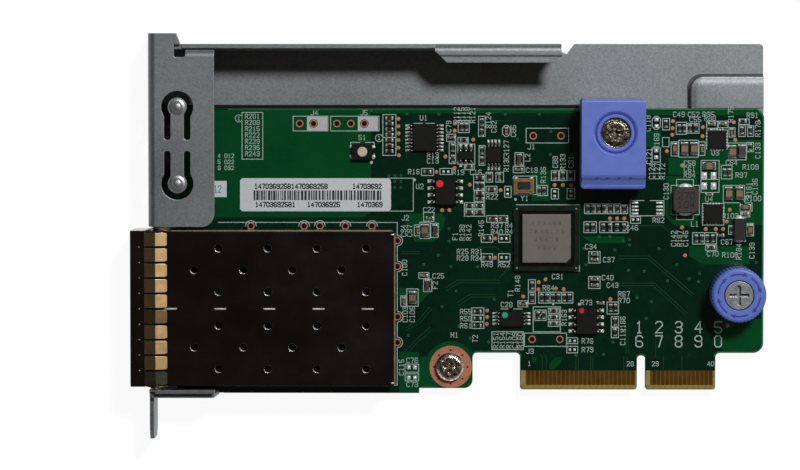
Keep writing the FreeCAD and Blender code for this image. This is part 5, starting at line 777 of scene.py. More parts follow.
def spangle_group():
    """The blotchy crystals of zinc plating with a fine bright speckle."""
    group, given, result = new_group(
        "Zinc spangle", [("Float", "Scale", 1300.0)], [("Float", "Crystal"), ("Float", "Speckle"), ("Float", "Height")])
    place = object_place(group)
    cells = new_node(group, "TexVoronoi", Vector=place, Scale=given.outputs["Scale"])
    split = new_node(group, "SeparateColor", cells.outputs["Color"])
    speck = noise_node(group, place, 4200.0, 2.0, 0.8)
    fill(group, result, Crystal=split.outputs[0], Speckle=spread(group, speck, 0.42, 0.68), Height=speck)
    return group


def weave_group():
    """The faint cloth of glass fibre that shows through a board."""
    group, given, result = new_group(
        "Glass weave", [("Float", "Scale", 260.0)], [("Float", "Threads"), ("Float", "Height")])
    place = object_place(group)
    threads = []
    for axis in ("X", "Y"):
        wave = new_node(group, "TexWave", Vector=place, Scale=given.outputs["Scale"], Distortion=1.2, Detail=1.0)
        wave.bands_direction = axis
        threads.append(wave.outputs["Fac"])
    cloth = times(group, math_node(group, "ADD", *threads), 0.5)
    fill(group, result, Threads=cloth, Height=cloth)
    return group


GROUP_MAKERS = {"Mottle": mottle_group, "Edge wear and sheen": edge_group, "Rolled lines": brushed_group,
                "Zinc spangle": spangle_group, "Glass weave": weave_group}


def effect(tree, name, **values):
    """Places a shader effect in a material, building it the first time."""
    node = tree.nodes.new("ShaderNodeGroup")
    node.node_tree = bpy.data.node_groups.get(name) or GROUP_MAKERS[name]()
    for label, value in values.items():
        node.inputs[label.replace("_", " ").capitalize()].default_value = value
    return node.outputs


def shaded(tint, share):
    """A colour made lighter (share over 1) or deeper (under 1)."""
    return (*(min(1.0, value * share) for value in tint[:3]), 1.0)


def bump(tree, shader, height, depth, **normal):
    """Feeds a height through a Bump into the shader, depth in metres, over a Normal where one is given."""
    fill(tree, shader, Normal=new_node(tree, "Bump", Strength=1.0, Distance=depth, Height=height, **normal).outputs[0])


def blank(name, metallic=0.0, specular=0.5):
    """A new material with its shader."""
    material = bpy.data.materials.new(name)
    material.use_nodes = True
    shader = material.node_tree.nodes["Principled BSDF"]
    fill(material.node_tree, shader, Metallic=metallic, Specular_IOR_Level=specular)
    return material, material.node_tree, shader


def finish(name, tint, contrast=0.15, scale=700.0, grain_scale=6000.0, smooth=0.3, rough=0.45, metallic=0.0,
           depth=0.000004, wear_and_sheen=None, radius=0.00006, specular=0.5, pale=None):
    """The common finish, found again by its name: mottled colour and gloss, a fine grain, and rounded edges in their
    own colour, mostly lighter, for wear and painted sheen.
    """
    if known := bpy.data.materials.get(name):
        return known
    material, tree, shader = blank(name, metallic, specular)
    tone = effect(tree, "Mottle", scale=scale, grain_scale=grain_scale, deep=shaded(tint, 1 - contrast),
        light=pale or shaded(tint, 1 + contrast), smooth=smooth, rough=rough)
    edge = effect(tree, "Edge wear and sheen", radius=radius)
    fill(tree, shader, Base_Color=mix_node(tree, edge["Mask"], tone["Color"], wear_and_sheen or shaded(tint, 1.25)),
         Roughness=tone["Roughness"])
    bump(tree, shader, tone["Height"], depth, Normal=edge["Normal"])
    return material


def dress(material, *nodes):
    """Gives CAD solids their finish."""
    for node in nodes:
        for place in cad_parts[node].material_slots:
            place.material = material


# ---------------------------------------------------------------- finishes

def steel_finish():
    """Zinc plate with its crystals and speckle, brushed faintly, and bright along its edges as a painted highlight."""
    if known := bpy.data.materials.get("zinc steel"):
        return known
    tint = colours().steel
    material, tree, shader = blank("zinc steel", metallic=1.0)
    zinc = effect(tree, "Zinc spangle", scale=2400.0)
    cloud = effect(tree, "Mottle", scale=60.0, grain_scale=2600.0, deep=shaded(tint, 0.84), light=shaded(tint, 1.1),
        smooth=0.42, rough=0.54)
    lines = effect(tree, "Rolled lines", scale=1800.0)
    edge = effect(tree, "Edge wear and sheen", radius=0.00022)
    tone = cloud["Color"]
    # Crystals, speckle and rolled lines are the plate's own; the pale colour along the edges is a painted highlight.
    for mask, share, over in ((zinc["Crystal"], 0.6, shaded(tint, 0.66)), (zinc["Speckle"], 0.6, shaded(tint, 1.45)),
            (lines["Lines"], 0.12, shaded(tint, 0.8)), (edge["Mask"], 0.6, srgb(228, 232, 236))):
        tone = mix_node(tree, times(tree, mask, share), tone, over)
    fill(tree, shader, Base_Color=tone,
         Roughness=math_node(tree, "SUBTRACT", cloud["Roughness"], times(tree, edge["Mask"], 0.15)))
    bump(tree, shader, zinc["Height"], 0.000006, Normal=edge["Normal"])
    return material


def board_finish():
    """Solder mask above, bare laminate on the tabs and on the cut edges."""
    if known := bpy.data.materials.get("board laminate"):
        return known
    tints = colours()
    material, tree, shader = blank("board laminate")
    axes = new_node(tree, "SeparateXYZ", object_place(tree)).outputs
    shape = tree.nodes.new("ShaderNodeNewGeometry")
    facing = new_node(tree, "SeparateXYZ", shape.outputs["Normal"]).outputs
    cloud = effect(tree, "Mottle", scale=140.0, grain_scale=900.0, deep=shaded(tints.mask, 0.8),
        light=shaded(tints.mask, 1.25), smooth=0.08, rough=0.14)
    weave = effect(tree, "Glass weave", scale=300.0)
    bare = mix_node(tree, weave["Threads"], shaded(tints.laminate, 0.85), shaded(tints.laminate, 1.1))
    on_tab = math_node(tree, "LESS_THAN", axes[1], spot(0, TAB_LINE).y)
    past_ring = math_node(tree, "GREATER_THAN", axes[0], spot(RING_END, 0).x)
    top = mix_node(tree, times(tree, on_tab, past_ring), cloud["Color"], bare)
    upright = math_node(tree, "LESS_THAN", math_node(tree, "ABSOLUTE", facing[2]), 0.6)
    edge = effect(tree, "Edge wear and sheen", radius=0.00022)
    # Lighter green along the top edges away from the tabs: thin mask there, and a painted highlight.
    rim = times(tree, edge["Mask"], math_node(tree, "SUBTRACT", 1.0, on_tab))
    fill(tree, shader, Base_Color=mix_node(tree, upright, mix_node(tree, rim, top, srgb(18, 104, 54)),
        srgb(62, 104, 52)), Roughness=math_node(tree, "MAXIMUM", cloud["Roughness"], times(tree, upright, 0.7)))
    bump(tree, shader, weave["Height"], 0.0000012)
    return material


def mask_finish():
    tint = colours().mask
    return finish("solder mask", tint, contrast=0.2, scale=140.0, grain_scale=900.0, smooth=0.08, rough=0.14,
        depth=0.000001, wear_and_sheen=shaded(tint, 1.1), radius=0.00002)


def pour_finish():
    """Solder mask over copper, with a trace of the weave."""
    if known := bpy.data.materials.get("masked copper"):
        return known
    tint = colours().pour
    material, tree, shader = blank("masked copper")
    cloud = effect(tree, "Mottle", scale=160.0, grain_scale=1400.0, deep=shaded(tint, 0.88), light=shaded(tint, 1.1),
        smooth=0.08, rough=0.14)
    weave = effect(tree, "Glass weave", scale=300.0)
    fill(tree, shader, Roughness=cloud["Roughness"],
         Base_Color=mix_node(tree, times(tree, weave["Threads"], 0.08), cloud["Color"], shaded(tint, 1.3)))
    bump(tree, shader, cloud["Height"], 0.000001)
    return material


def cage_finish():
    """Dark rolled nickel silver."""
    if known := bpy.data.materials.get("dark nickel"):
        return known
    tint = colours().cage
    material, tree, shader = blank("dark nickel", metallic=1.0)
    cloud = effect(tree, "Mottle", scale=90.0, grain_scale=1500.0, deep=shaded(tint, 0.9), light=shaded(tint, 1.08),
        smooth=0.13, rough=0.2)
    lines = effect(tree, "Rolled lines", scale=1500.0)
    edge = effect(tree, "Edge wear and sheen", radius=0.0001)
    rolled = mix_node(tree, times(tree, lines["Lines"], 0.15), cloud["Color"], shaded(tint, 0.75))
    fill(tree, shader, Base_Color=mix_node(tree, edge["Mask"], rolled, shaded(tint, 1.5)), Roughness=cloud["Roughness"])
    bump(tree, shader, lines["Height"], 0.0000008, Normal=edge["Normal"])
    return material


def bronze_finish(name="spring bronze", share=1.0):
    """Spring bronze, polished where modules rub it, with painted shade on the rising side of the fingers."""
    if known := bpy.data.materials.get(name):
        return known
    tint = shaded(colours().bronze, share)
    material, tree, shader = blank(name, metallic=1.0)
    along = new_node(tree, "SeparateXYZ", object_place(tree)).outputs[0]
    ridge = spot(FINGER_RIDGE, 0).x
    # Painted shade on the rising side of each finger, which faces away from the lamp.
    rising_side_shade = spread(tree, along, ridge + 0.02 * MM, ridge - 0.06 * MM)
    cloud = effect(tree, "Mottle", scale=900.0, grain_scale=5000.0, deep=shaded(tint, 0.93), light=shaded(tint, 1.05),
        smooth=0.28, rough=0.32)
    lines = effect(tree, "Rolled lines", scale=2600.0)
    edge = effect(tree, "Edge wear and sheen", radius=0.00006)
    tone = cloud["Color"]
    for mask, part, over in ((lines["Lines"], 0.12, shaded(tint, 0.75)), (rising_side_shade, 0.8, srgb(84, 62, 42)),
            (edge["Mask"], 0.4, srgb(240, 215, 175))):
        tone = mix_node(tree, times(tree, mask, part), tone, over)
    fill(tree, shader, Base_Color=tone, Roughness=cloud["Roughness"])
    bump(tree, shader, lines["Height"], 0.0000015, Normal=edge["Normal"])
    return material


def bright_nickel_finish():
    return finish("bright nickel", srgb(214, 210, 204), contrast=0.08, metallic=0.7, wear_and_sheen=srgb(235, 232, 226))


def silk_finish():
    return finish("legend ink", colours().silk, contrast=0.1, scale=1200.0, grain_scale=9000.0, smooth=0.55, rough=0.7,
        depth=0.000002, specular=0.3)


def gold_finish():
    return finish("contact gold", colours().gold, contrast=0.08, scale=300.0, grain_scale=5000.0, smooth=0.26,
        rough=0.36, metallic=0.75, depth=0.000001, wear_and_sheen=srgb(150, 104, 40), radius=0.00003)


def copper_finish():
    return finish("bare copper", colours().copper, contrast=0.08, scale=500.0, grain_scale=5000.0, smooth=0.42,
        rough=0.56, metallic=0.35, wear_and_sheen=srgb(226, 168, 138))


def tin_finish():
    return finish("solder tin", colours().tin, contrast=0.06, scale=1500.0, grain_scale=7000.0, smooth=0.24, rough=0.34,
        metallic=0.45, depth=0.000002, wear_and_sheen=srgb(240, 240, 236), radius=0.00004)


def tinned_finish():
    """Plated chip ends and leads, duller than fresh solder."""
    return finish("tinned end", srgb(74, 72, 68), contrast=0.1, scale=2500.0, grain_scale=9000.0, smooth=0.3,
        rough=0.42, metallic=0.9, depth=0.000003, wear_and_sheen=srgb(120, 118, 112), radius=0.00003)


def moulding_finish():
    return finish("black moulding", colours().moulding, contrast=0.18, scale=900.0, grain_scale=9000.0, smooth=0.42,
        rough=0.6, depth=0.000006, wear_and_sheen=srgb(34, 33, 31), specular=0.1)


def plastic_finish():
    return finish("blue plastic", colours().plastic, contrast=0.05, scale=260.0, grain_scale=5200.0, smooth=0.34,
        rough=0.46, depth=0.000006, wear_and_sheen=srgb(98, 119, 194), radius=0.0003, specular=0.45)


def trace_finish():
    return finish("masked trace", srgb(17, 55, 32), contrast=0.12, scale=500.0, grain_scale=3000.0, smooth=0.1,
        rough=0.2, depth=0.000001, wear_and_sheen=srgb(26, 66, 40), radius=0.00003)


def ink_finish(name, red, green, blue, specular=0.15):
    return finish(name, srgb(red, green, blue), contrast=0.1, scale=2500.0, grain_scale=9000.0, smooth=0.45, rough=0.65,
        depth=0.000002, wear_and_sheen=srgb(red, green, blue), radius=0.00003, specular=specular)


# ---------------------------------------------------------------- stage

CAMERA_PLACE = Vector((-1.635, 35.13, 700.0)) * MM
CAMERA_LOOK = Vector((-9.015, -0.21, 0.0)) * MM
CAMERA_LENS = 170.42
KEY_WAY = Vector((0.30, 0.47, 1.0))
KEY_DISTANCE = 0.9
KEY_WIDTH = 0.15
FLOOR_RADIUS = 3000.0
FLOOR_GLOW = 0.93


def stage_camera(context):
    data = bpy.data.cameras.new("camera")
    data.lens = CAMERA_LENS
    data.sensor_width = 36
    data.clip_start = 0.01
    data.clip_end = 20
    ahead = (CAMERA_LOOK - CAMERA_PLACE).normalized()
    right = ahead.cross(Vector((0, 1, 0))).normalized()
    up = right.cross(ahead)
    turn = Matrix((right, up, -ahead)).transposed().to_4x4()
    camera = bpy.data.objects.new("camera", data)
    camera.matrix_world = Matrix.Translation(CAMERA_PLACE) @ turn
    context.collection.objects.link(camera)
    context.scene.camera = camera


def stage_floor():
    shape = Shape()
    shape.lathe((0, 0), ((FLOOR_RADIUS, -20), (FLOOR_RADIUS, -0.1)), 0, 96)
    bmesh.ops.recalc_face_normals(shape.mesh, faces=shape.mesh.faces)
    data = bpy.data.meshes.new("floor")
    shape.mesh.to_mesh(data)
    shape.mesh.free()
    floor = bpy.data.objects.new("floor", data)
    bpy.context.collection.objects.link(floor)
    material, tree, shader = blank("pale floor", specular=0.0)
    tone = effect(tree, "Mottle", scale=3.0, grain_scale=300.0, deep=(0.11, 0.11, 0.11, 1), light=(0.13, 0.13, 0.13, 1),
        smooth=0.9, rough=0.95)
    fill(tree, shader, Base_Color=tone["Color"], Roughness=0.9)
    rays = tree.nodes.new("ShaderNodeLightPath").outputs
    seen = math_node(tree, "ADD", rays["Is Camera Ray"], rays["Is Glossy Ray"])
    seen = math_node(tree, "MINIMUM", math_node(tree, "ADD", seen, rays["Is Transmission Ray"]), 1.0)
    glow = new_node(tree, "Emission", Strength=times(tree, seen, FLOOR_GLOW))
    both = new_node(tree, "AddShader", shader.outputs[0], glow.outputs[0])
    fill(tree, tree.nodes["Material Output"], Surface=both.outputs[0])
    data.materials.append(material)


def stage_lamp():
    data = bpy.data.lights.new("main lamp", "AREA")
    data.shape = "DISK"
    data.size = KEY_WIDTH
    data.energy = sizes().key_power
    lamp = bpy.data.objects.new("main lamp", data)
    way = KEY_WAY.normalized()
    lamp.matrix_world = Matrix.Translation(way * KEY_DISTANCE) @ way.to_track_quat("Z", "Y").to_matrix().to_4x4()
    bpy.context.collection.objects.link(lamp)


def stage_world(context):
    """Dark overhead, paler toward the horizon, like a tented table."""
    world = bpy.data.worlds.new("studio")
    context.scene.world = world
    world.use_nodes = True
    tree = world.node_tree
    place = tree.nodes.new("ShaderNodeTexCoord").outputs["Generated"]
    ramp = new_node(tree, "ValToRGB", new_node(tree, "SeparateXYZ", place).outputs[2])
    steps = ((0.0, (0.85, 0.85, 0.87)), (0.12, (0.8, 0.8, 0.82)), (0.32, (0.24, 0.24, 0.245)),
             (0.75, (0.2, 0.2, 0.2)), (0.88, (0.085, 0.066, 0.046)), (0.95, (0.046, 0.032, 0.018)))
    while len(ramp.color_ramp.elements) < len(steps):
        ramp.color_ramp.elements.new(0.5)
    for element, (position, tone) in zip(ramp.color_ramp.elements, steps):
        element.position = position
        element.color = (*tone, 1)
    fill(tree, tree.nodes["Background"], Color=ramp.outputs[0])


class CARD_OT_stage(bpy.types.Operator):
    """Pale floor, soft studio light and the camera"""
    bl_idname = "card.stage"
    bl_label = "Stage"

    def execute(self, context):
        stage_camera(context)
        stage_floor()
        stage_lamp()
        stage_world(context)
        context.scene.view_settings.view_transform = "Standard"
        return {"FINISHED"}


# ---------------------------------------------------------------- pieces

def pad_outline(inset):
    """The raised pad's outline drawn in by inset, with its round corner, from its near end round to its far end."""
    left, front, radius = (PAD_LEFT + inset) * MM, (PAD_FRONT - inset) * MM, (PAD_RADIUS - inset) * MM
    turns = [step * math.pi / 2 / PAD_STEPS for step in range(PAD_STEPS + 1)]
    corner = [(left + radius * (1 - math.cos(turn)), front - radius * (1 - math.sin(turn))) for turn in turns]
    return [(left, PAD_BACK * MM)] + corner + [(PAD_RIGHT * MM, front), (PAD_RIGHT * MM, PAD_BACK * MM)]


def tab_heads():
    """The domed heads of the two spring tabs."""
    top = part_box("bracket_tray")[1].z
    shape = Shape()
    for place in SPRING_TAB_HEADS:
        shape.lathe(flat(*place), TAB_HEAD_PROFILE, top, 36)
    shape.finish("tab_heads", finish("pressed head", srgb(138, 140, 140), contrast=0.1, smooth=0.38, rough=0.48,
        metallic=1.0, radius=0.0001), "zinc_steel", smooth=True)


def corner_webs():
    """The webs that close the corner under the flange and carry the foot's lip along the board."""
    shape = Shape()
    for low, high in CORNER_WEBS:
        shape.block(raised(*low), raised(*high))
    shape.loft([[raised(*place, height) for place in LIP_STRIP] for height in LIP_STRIP_HEIGHTS])
    shape.finish("corner_web", steel_finish(), "zinc_steel")


def raised_pad():
    """The soft roll round the raised pad under the board's end, and a strip of painted shade in the crease at its foot.
    """
    roll = Shape()
    roll.loft([[Vector((x, y, height * MM)) for x, y in pad_outline(inset)] for inset, height in PAD_ROLL])
    roll.finish("pad_roll", steel_finish(), "zinc_steel", smooth=True)
    # A dark strip on the tray floor round the pad's foot: painted shade.
    crease = Shape()
    outer, inner = pad_outline(-PAD_SHADE_WIDTH), pad_outline(0.0)
    for index in range(1, len(outer) - 1):
        crease.prism((outer[index - 1], inner[index - 1], inner[index], outer[index]), (PAD_FLOOR - 0.02) * MM,
            (PAD_FLOOR + 0.02) * MM)
    crease.finish("pad_crease_shade", ink_finish("painted crease shade", 66, 68, 70), "zinc_steel")


class CARD_OT_sheet_metal(bpy.types.Operator):
    """Zinc plated bracket and the black film under the board"""
    bl_idname = "card.sheet_metal"
    bl_label = "Bracket and film"

    def execute(self, context):
        dress(steel_finish(), "bracket_tray")
        film = finish("black film", srgb(10, 9, 10), contrast=0.2, scale=500.0, grain_scale=5000.0, smooth=0.45,
            rough=0.6, wear_and_sheen=srgb(22, 22, 22), specular=0.1)
        dress(film, "insulator_film")
        # The film carried on under the flange's slots is painted shade: a dark sheet where the slots show only shade.
        low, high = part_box("insulator_film")
        start, end, down = FILM_SHADE_SPAN
        margin = Shape()
        margin.block(Vector((*flat(start, down), low.z)), Vector((spot(end, 0).x, high.y, high.z)))
        margin.finish("film_shade", film, "black_film")
        tab_heads()
        corner_webs()
        raised_pad()
        return {"FINISHED"}


class CARD_OT_board(bpy.types.Operator):
    """Circuit board"""
    bl_idname = "card.board"
    bl_label = "Board"

    def execute(self, context):
        dress(board_finish(), "circuit_board")
        dress(gold_finish(), "edge_contacts", "connector_contacts")
        shoulder = Shape()
        shoulder.prism([flat(*point) for point in SHOULDER], above(-1.52), above(-0.02))
        shoulder.finish("board_shoulder", mask_finish(), "green_board")
        # A pale green strip along the top edge and over the chamfers: painted highlight.
        rim = Shape()
        rim.loft([[raised(along, down, height) for down, height in RIM_SECTION] for along in RIM_SPAN])
        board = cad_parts["circuit_board"].data
        for face in board.polygons:
            middle = face.center
            bare = middle.y < spot(0, TAB_MASK_END).y and middle.x > spot(RING_END, 0).x
            turned = RIM_TURN[0] < face.normal.z < RIM_TURN[1] and middle.y < spot(0, RIM_SECTION[-1][0]).y
            if turned and not bare:
                corners = [board.vertices[index].co for index in face.vertices]
                rim.loft([[corner + face.normal * lift * MM for corner in corners] for lift in (-0.05, 0.012)])
        rim.finish("board_rim_highlight", ink_finish("highlight green", 30, 102, 64), "green_board")
        return {"FINISHED"}


class CARD_OT_chips(bpy.types.Operator):
    """Chips, their leads and the large chip with its lid"""
    bl_idname = "card.chips"
    bl_label = "Chips"

    def execute(self, context):
        dress(moulding_finish(), *LEADED_CHIPS, *REGULATORS, "switch_case")
        lid = finish("chip lid", colours().lid, contrast=0.06, scale=300.0, grain_scale=8000.0, smooth=0.45, rough=0.55,
            metallic=0.4, wear_and_sheen=srgb(140, 132, 125), radius=0.0001)
        dress(lid, "phy_lid")
        crystal = finish("dark crystal lid", srgb(36, 25, 19), contrast=0.1, scale=900.0, smooth=0.25, rough=0.4,
            metallic=0.3, wear_and_sheen=srgb(196, 172, 138), radius=0.00012)
        dress(crystal, "oscillator_lid")
        dress(finish("dark substrate", srgb(13, 26, 18), smooth=0.15, rough=0.25), "phy_substrate")
        dress(tin_finish(), "phy_solder_balls", "inductor_terminals", "tantalum_terminals", "switch_terminals")
        dress(tinned_finish(), "chip_leads", "chip_ends")
        return {"FINISHED"}


def crystal_rim():
    """The four narrow strips that frame the oscillator's lid."""
    low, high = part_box("oscillator_lid")
    inset, rise = Vector((LID_RIM, LID_RIM, 0)) * MM, LID_RIM_RISE * MM
    inner_low, inner_high = low + inset, high - inset
    rim = Shape()
    for near, far in (((low.x, low.y), (inner_low.x, high.y)), ((inner_high.x, low.y), (high.x, high.y)),
            ((inner_low.x, low.y), (inner_high.x, inner_low.y)), ((inner_low.x, inner_high.y), (inner_high.x, high.y))):
        rim.block(Vector((*near, high.z - rise)), Vector((*far, high.z + rise)))
    rim.finish("crystal_rim", finish("crystal rim", srgb(104, 78, 44), contrast=0.2, scale=1500.0), "dark_nickel")


class CARD_OT_components(bpy.types.Operator):
    """Resistors, capacitors, beads, the inductor and the oscillator"""
    bl_idname = "card.components"
    bl_label = "Small components"

    def execute(self, context):
        tints = colours()
        dress(finish("resistor glaze", srgb(22, 22, 22), contrast=0.2, smooth=0.2, rough=0.35,
            wear_and_sheen=srgb(120, 118, 112)), "chip_resistors")
        dress(finish("capacitor ceramic", shaded(tints.ceramic, 0.8), contrast=0.12, scale=170.0, smooth=0.4,
            rough=0.55, specular=0.3, pale=srgb(122, 97, 70)), "chip_capacitors", "ceramic_capacitors")
        dress(finish("grey ferrite", tints.ferrite, contrast=0.16, scale=1200.0, smooth=0.5, rough=0.66,
            depth=0.000012, specular=0.2), "ferrite_beads", "power_inductor")
        dress(finish("ceramic rim", srgb(112, 87, 54), scale=1500.0, wear_and_sheen=srgb(180, 152, 108)), "oscillator_base")
        dress(finish("dark tantalum", srgb(26, 27, 24), smooth=0.45, rough=0.6, specular=0.2), "tantalum_capacitor")
        dress(finish("cream plastic", tints.cream, contrast=0.05, smooth=0.35, rough=0.5, radius=0.0001),
            "switch_button")
        crystal_rim()
        return {"FINISHED"}


class CARD_OT_fixings(bpy.types.Operator):
    """Screws, standoffs and the thumbscrew's metal parts"""
    bl_idname = "card.fixings"
    bl_label = "Screws and standoffs"

    def execute(self, context):
        # The screws' high-contrast mottle, from dark to nearly white, is painted glints, and their pale edge colour a
        # painted highlight on the rim.
        dark = finish("bronzed screw", srgb(88, 78, 68), contrast=0.6, scale=1500.0, grain_scale=2600.0, smooth=0.14,
            rough=0.3, metallic=1.0, depth=0.00006, wear_and_sheen=srgb(226, 214, 190), radius=0.0001, pale=srgb(150, 138, 122))
        bright = finish("bright screw", srgb(112, 102, 86), contrast=0.85, scale=1700.0, grain_scale=2400.0, smooth=0.1,
            rough=0.24, metallic=1.0, depth=0.00008, wear_and_sheen=srgb(214, 204, 186), radius=0.0001, pale=srgb(250, 238, 218))
        silver = finish("silver screw", srgb(134, 137, 141), contrast=0.1, scale=900.0, smooth=0.34, rough=0.46,
            metallic=1.0, wear_and_sheen=srgb(235, 236, 238), radius=0.0001)
        dress(dark, "block_screw")
        dress(bright, "board_screw")
        dress(silver, "thumbscrew_stem", "thumbscrew_ferrule", "thumbscrew_clip", "block_standoff", "board_standoff")
        return {"FINISHED"}


def contact_ground(low):
    """Stained laminate between the edge contacts, from the first to the last of each row."""
    slot = spot(KEY_SLOT, 0).x
    shape = Shape()
    upper = [box for box in islands("edge_contacts") if box[1].z > BOARD_TOP]
    for row in ([box for box in upper if box[0].x < slot], [box for box in upper if box[0].x > slot]):
        shape.block(Vector((min(box[0].x for box in row) - 0.12 * MM, min(box[0].y for box in row), low)),
            Vector((max(box[1].x for box in row) + 0.12 * MM, spot(0, TAB_MASK_END - 0.1).y, above(0.02))))
    stained = finish("stained laminate", srgb(84, 62, 18), contrast=0.12, smooth=0.5, rough=0.65, specular=0.15)
    shape.finish("contact_ground", stained, "green_board")
    margins = Shape()
    for start, end in TAB_MARGINS:
        margins.block(spot(start, TAB_END, SINK), spot(end, TAB_MASK_END - 0.06, 0.065))
    bare = finish("bare laminate", colours().laminate, contrast=0.1, scale=300.0)
    margins.finish("tab_margins", bare, "green_board")


class CARD_OT_copper(bpy.types.Operator):
    """Copper areas, traces and covered vias under the solder mask"""
    bl_idname = "card.copper"
    bl_label = "Copper under the mask"

    def execute(self, context):
        low = above(SINK)
        areas = Shape()
        for layer, outline in enumerate(POURS):
            areas.prism([flat(*point) for point in outline], low, above(POUR_HEIGHT) + layer * LAYER_STEP / 3)
        areas.prism(held(flat(*SCREW_RING), SCREW_RING_MASK * MM), above(EDGE_SINK), above(POUR_HEIGHT + 0.006))
        for outline in TAB_POURS:
            areas.prism([flat(*point) for point in outline], low, above(TAB_MASK_HEIGHT + 0.004))
        areas.finish("copper_areas", pour_finish(), "green_board")
        mask = Shape()
        for start, end in TAB_MASKS:
            mask.block(spot(start, TAB_MASK_END, SINK), spot(end, TAB_MASK_TOP, TAB_MASK_HEIGHT), 0.01 * MM)
        mask.finish("tab_mask", mask_finish(), "green_board")
        contact_ground(low)
        lines = Shape()
        for layer, points in enumerate(TRACES):
            lines.ribbon([flat(*point) for point in points], sizes().trace, low,
                above(POUR_HEIGHT + 0.004) + layer * LAYER_STEP / 3)
        for along in TAB_TRACES:
            lines.ribbon([flat(along, TAB_MASK_TOP), flat(along, TAB_MASK_END - 0.05)], sizes().trace, low,
                above(TAB_MASK_HEIGHT + 0.006))
        lines.finish("copper_traces", trace_finish(), "green_board")
        vias = Shape()
        for place in TENTED_VIAS:
            vias.washer(flat(*place), 0.1 * MM, 0.27 * MM, low, above(0.034), 12)
        vias.finish("covered_vias", finish("covered via", srgb(36, 82, 60), contrast=0.1, smooth=0.1, rough=0.2),
            "green_board")
        return {"FINISHED"}


class CARD_OT_pads(bpy.types.Operator):
    """Bare test points, empty pads, plated holes and the ring under the board screw"""
    bl_idname = "card.pads"
    bl_label = "Bare copper and pads"

    def execute(self, context):
        low = above(SINK)
        copper = Shape()
        for place in TEST_POINTS:
            copper.lathe(flat(*place), TEST_POINT_PROFILE, steps=16)
        # Dark discs in the plated holes: painted shade inside the holes.
        drilled = Shape()
        for place in PLATED_HOLES + CAGE_PINS_REAR + CAGE_PINS_TOP:
            copper.washer(flat(*place), HOLE_RADIUS * MM, HOLE_RING_RADIUS * MM, low, above(PAD_HEIGHT))
            drilled.lathe(flat(*place), ((HOLE_RADIUS + 0.01, SINK), (HOLE_RADIUS + 0.01, 0.02)), steps=18)
        drilled.finish("drilled_hole_shade", ink_finish("drilled hole shade", 26, 9, 6, 0.05), "green_board")
        ring = flat(*SCREW_RING)
        outer = held(ring, SCREW_RING_OUTER * MM)
        heights = (above(EDGE_SINK), above(PAD_HEIGHT + 0.004))
        copper.loft([circle(ring, SCREW_RING_INNER * MM, heights[0], len(outer)),
            *[[Vector((*point, height)) for point in outer] for height in heights],
            circle(ring, SCREW_RING_INNER * MM, heights[1], len(outer))], closed=True)
        copper.finish("bare_copper", copper_finish(), "gold")
        # Dark discs for the open vias round the ring: painted shade inside the holes.
        holes = Shape()
        for index in range(RING_HOLES):
            centre = ring + heading(math.tau * index / RING_HOLES) * SCREW_RING_VIAS * MM
            holes.lathe(centre, ((0.2, SINK), (0.2, PAD_HEIGHT + 0.008)), steps=12)
        holes.finish("ring_via_shade", ink_finish("open via shade", 62, 14, 6), "gold")
        tin = Shape()
        for step_along, step_down, half_along, half_down, middles in BARE_PADS:
            reach = Vector((half_along, half_down)) * MM
            for along, down, sign in [(*place, sign) for place in middles for sign in (-1, 1)]:
                middle = flat(along + sign * step_along, down + sign * step_down)
                tin.slab(middle, reach, low, above(0.03))
                tin.dome(middle, reach * 0.86, above(0.02), above(0.16))
        tin.finish("empty_pads", tin_finish(), "solder", smooth=True)
        return {"FINISHED"}


def printed_fills(low, high):
    """Solid printed areas beside two plated holes, each cut out round its hole."""
    shape = Shape()
    for start, end, top, bottom, hole in FILLED:
        centre, radius = flat(hole, PLATED_HOLES[0][1]), 0.8 * MM
        for side, edge in ((-1, start), (1, end)):
            cut = [centre + Vector((side * math.sin(turn), -math.cos(turn))) * radius
                for turn in (math.pi * step / 12 for step in range(13))]
            shape.prism([flat(hole, top), flat(edge, top), flat(edge, bottom), flat(hole, bottom), *cut], low, high)
    legend = finish("legend fill", srgb(160, 160, 162), contrast=0.06, scale=1200.0, smooth=0.55, rough=0.7,
        specular=0.3)
    shape.finish("printed_fills", legend, "label_paper")


def printed_numbers(low, high):
    shape = Shape()
    height, line = sizes().letter_height, sizes().letter_line
    counts = dict.fromkeys("RC", 10)
    for places, letters, upward in ((LABELS_ALONG, LETTERS_ALONG, False), (LABELS_UPWARD, LETTERS_UPWARD, True)):
        for (along, down), letter in zip(places, letters, strict=True):
            counts[letter] = counts.get(letter, 0) + (3 if letter in "RC" else 1)
            shape.words(f"{letter}{counts[letter]}", flat(along, down), height, line, low, high + 3 * LAYER_STEP,
                0.88, upward)
    for index, down in enumerate(LIST_ROWS):
        shape.words(f"R{201 + 7 * index}", flat(LIST_PLACE, down), 0.8 * MM, line, low, high)
    for index, down in enumerate(SMALL_LIST_ROWS):
        shape.words(f"{4 + index} 0{index + 1}2", flat(SMALL_LIST_PLACE, down), 0.7 * MM, line, low, high)
    for along, down, text in BIG_NUMBERS:
        shape.words(text, flat(along, down), BIG_NUMBER_HEIGHT * MM, 0.21 * MM, low, high)
    for along, down, text in TAB_NUMBERS:
        shape.words(text, flat(along, down), 0.8 * MM, line, low, above(TAB_MASK_HEIGHT + 0.02))
    for along, down in CIRCLED:
        shape.words("1", flat(along, down), 0.7 * MM, line, low, high, 1)
    shape.finish("printed_numbers", silk_finish(), "label_paper")


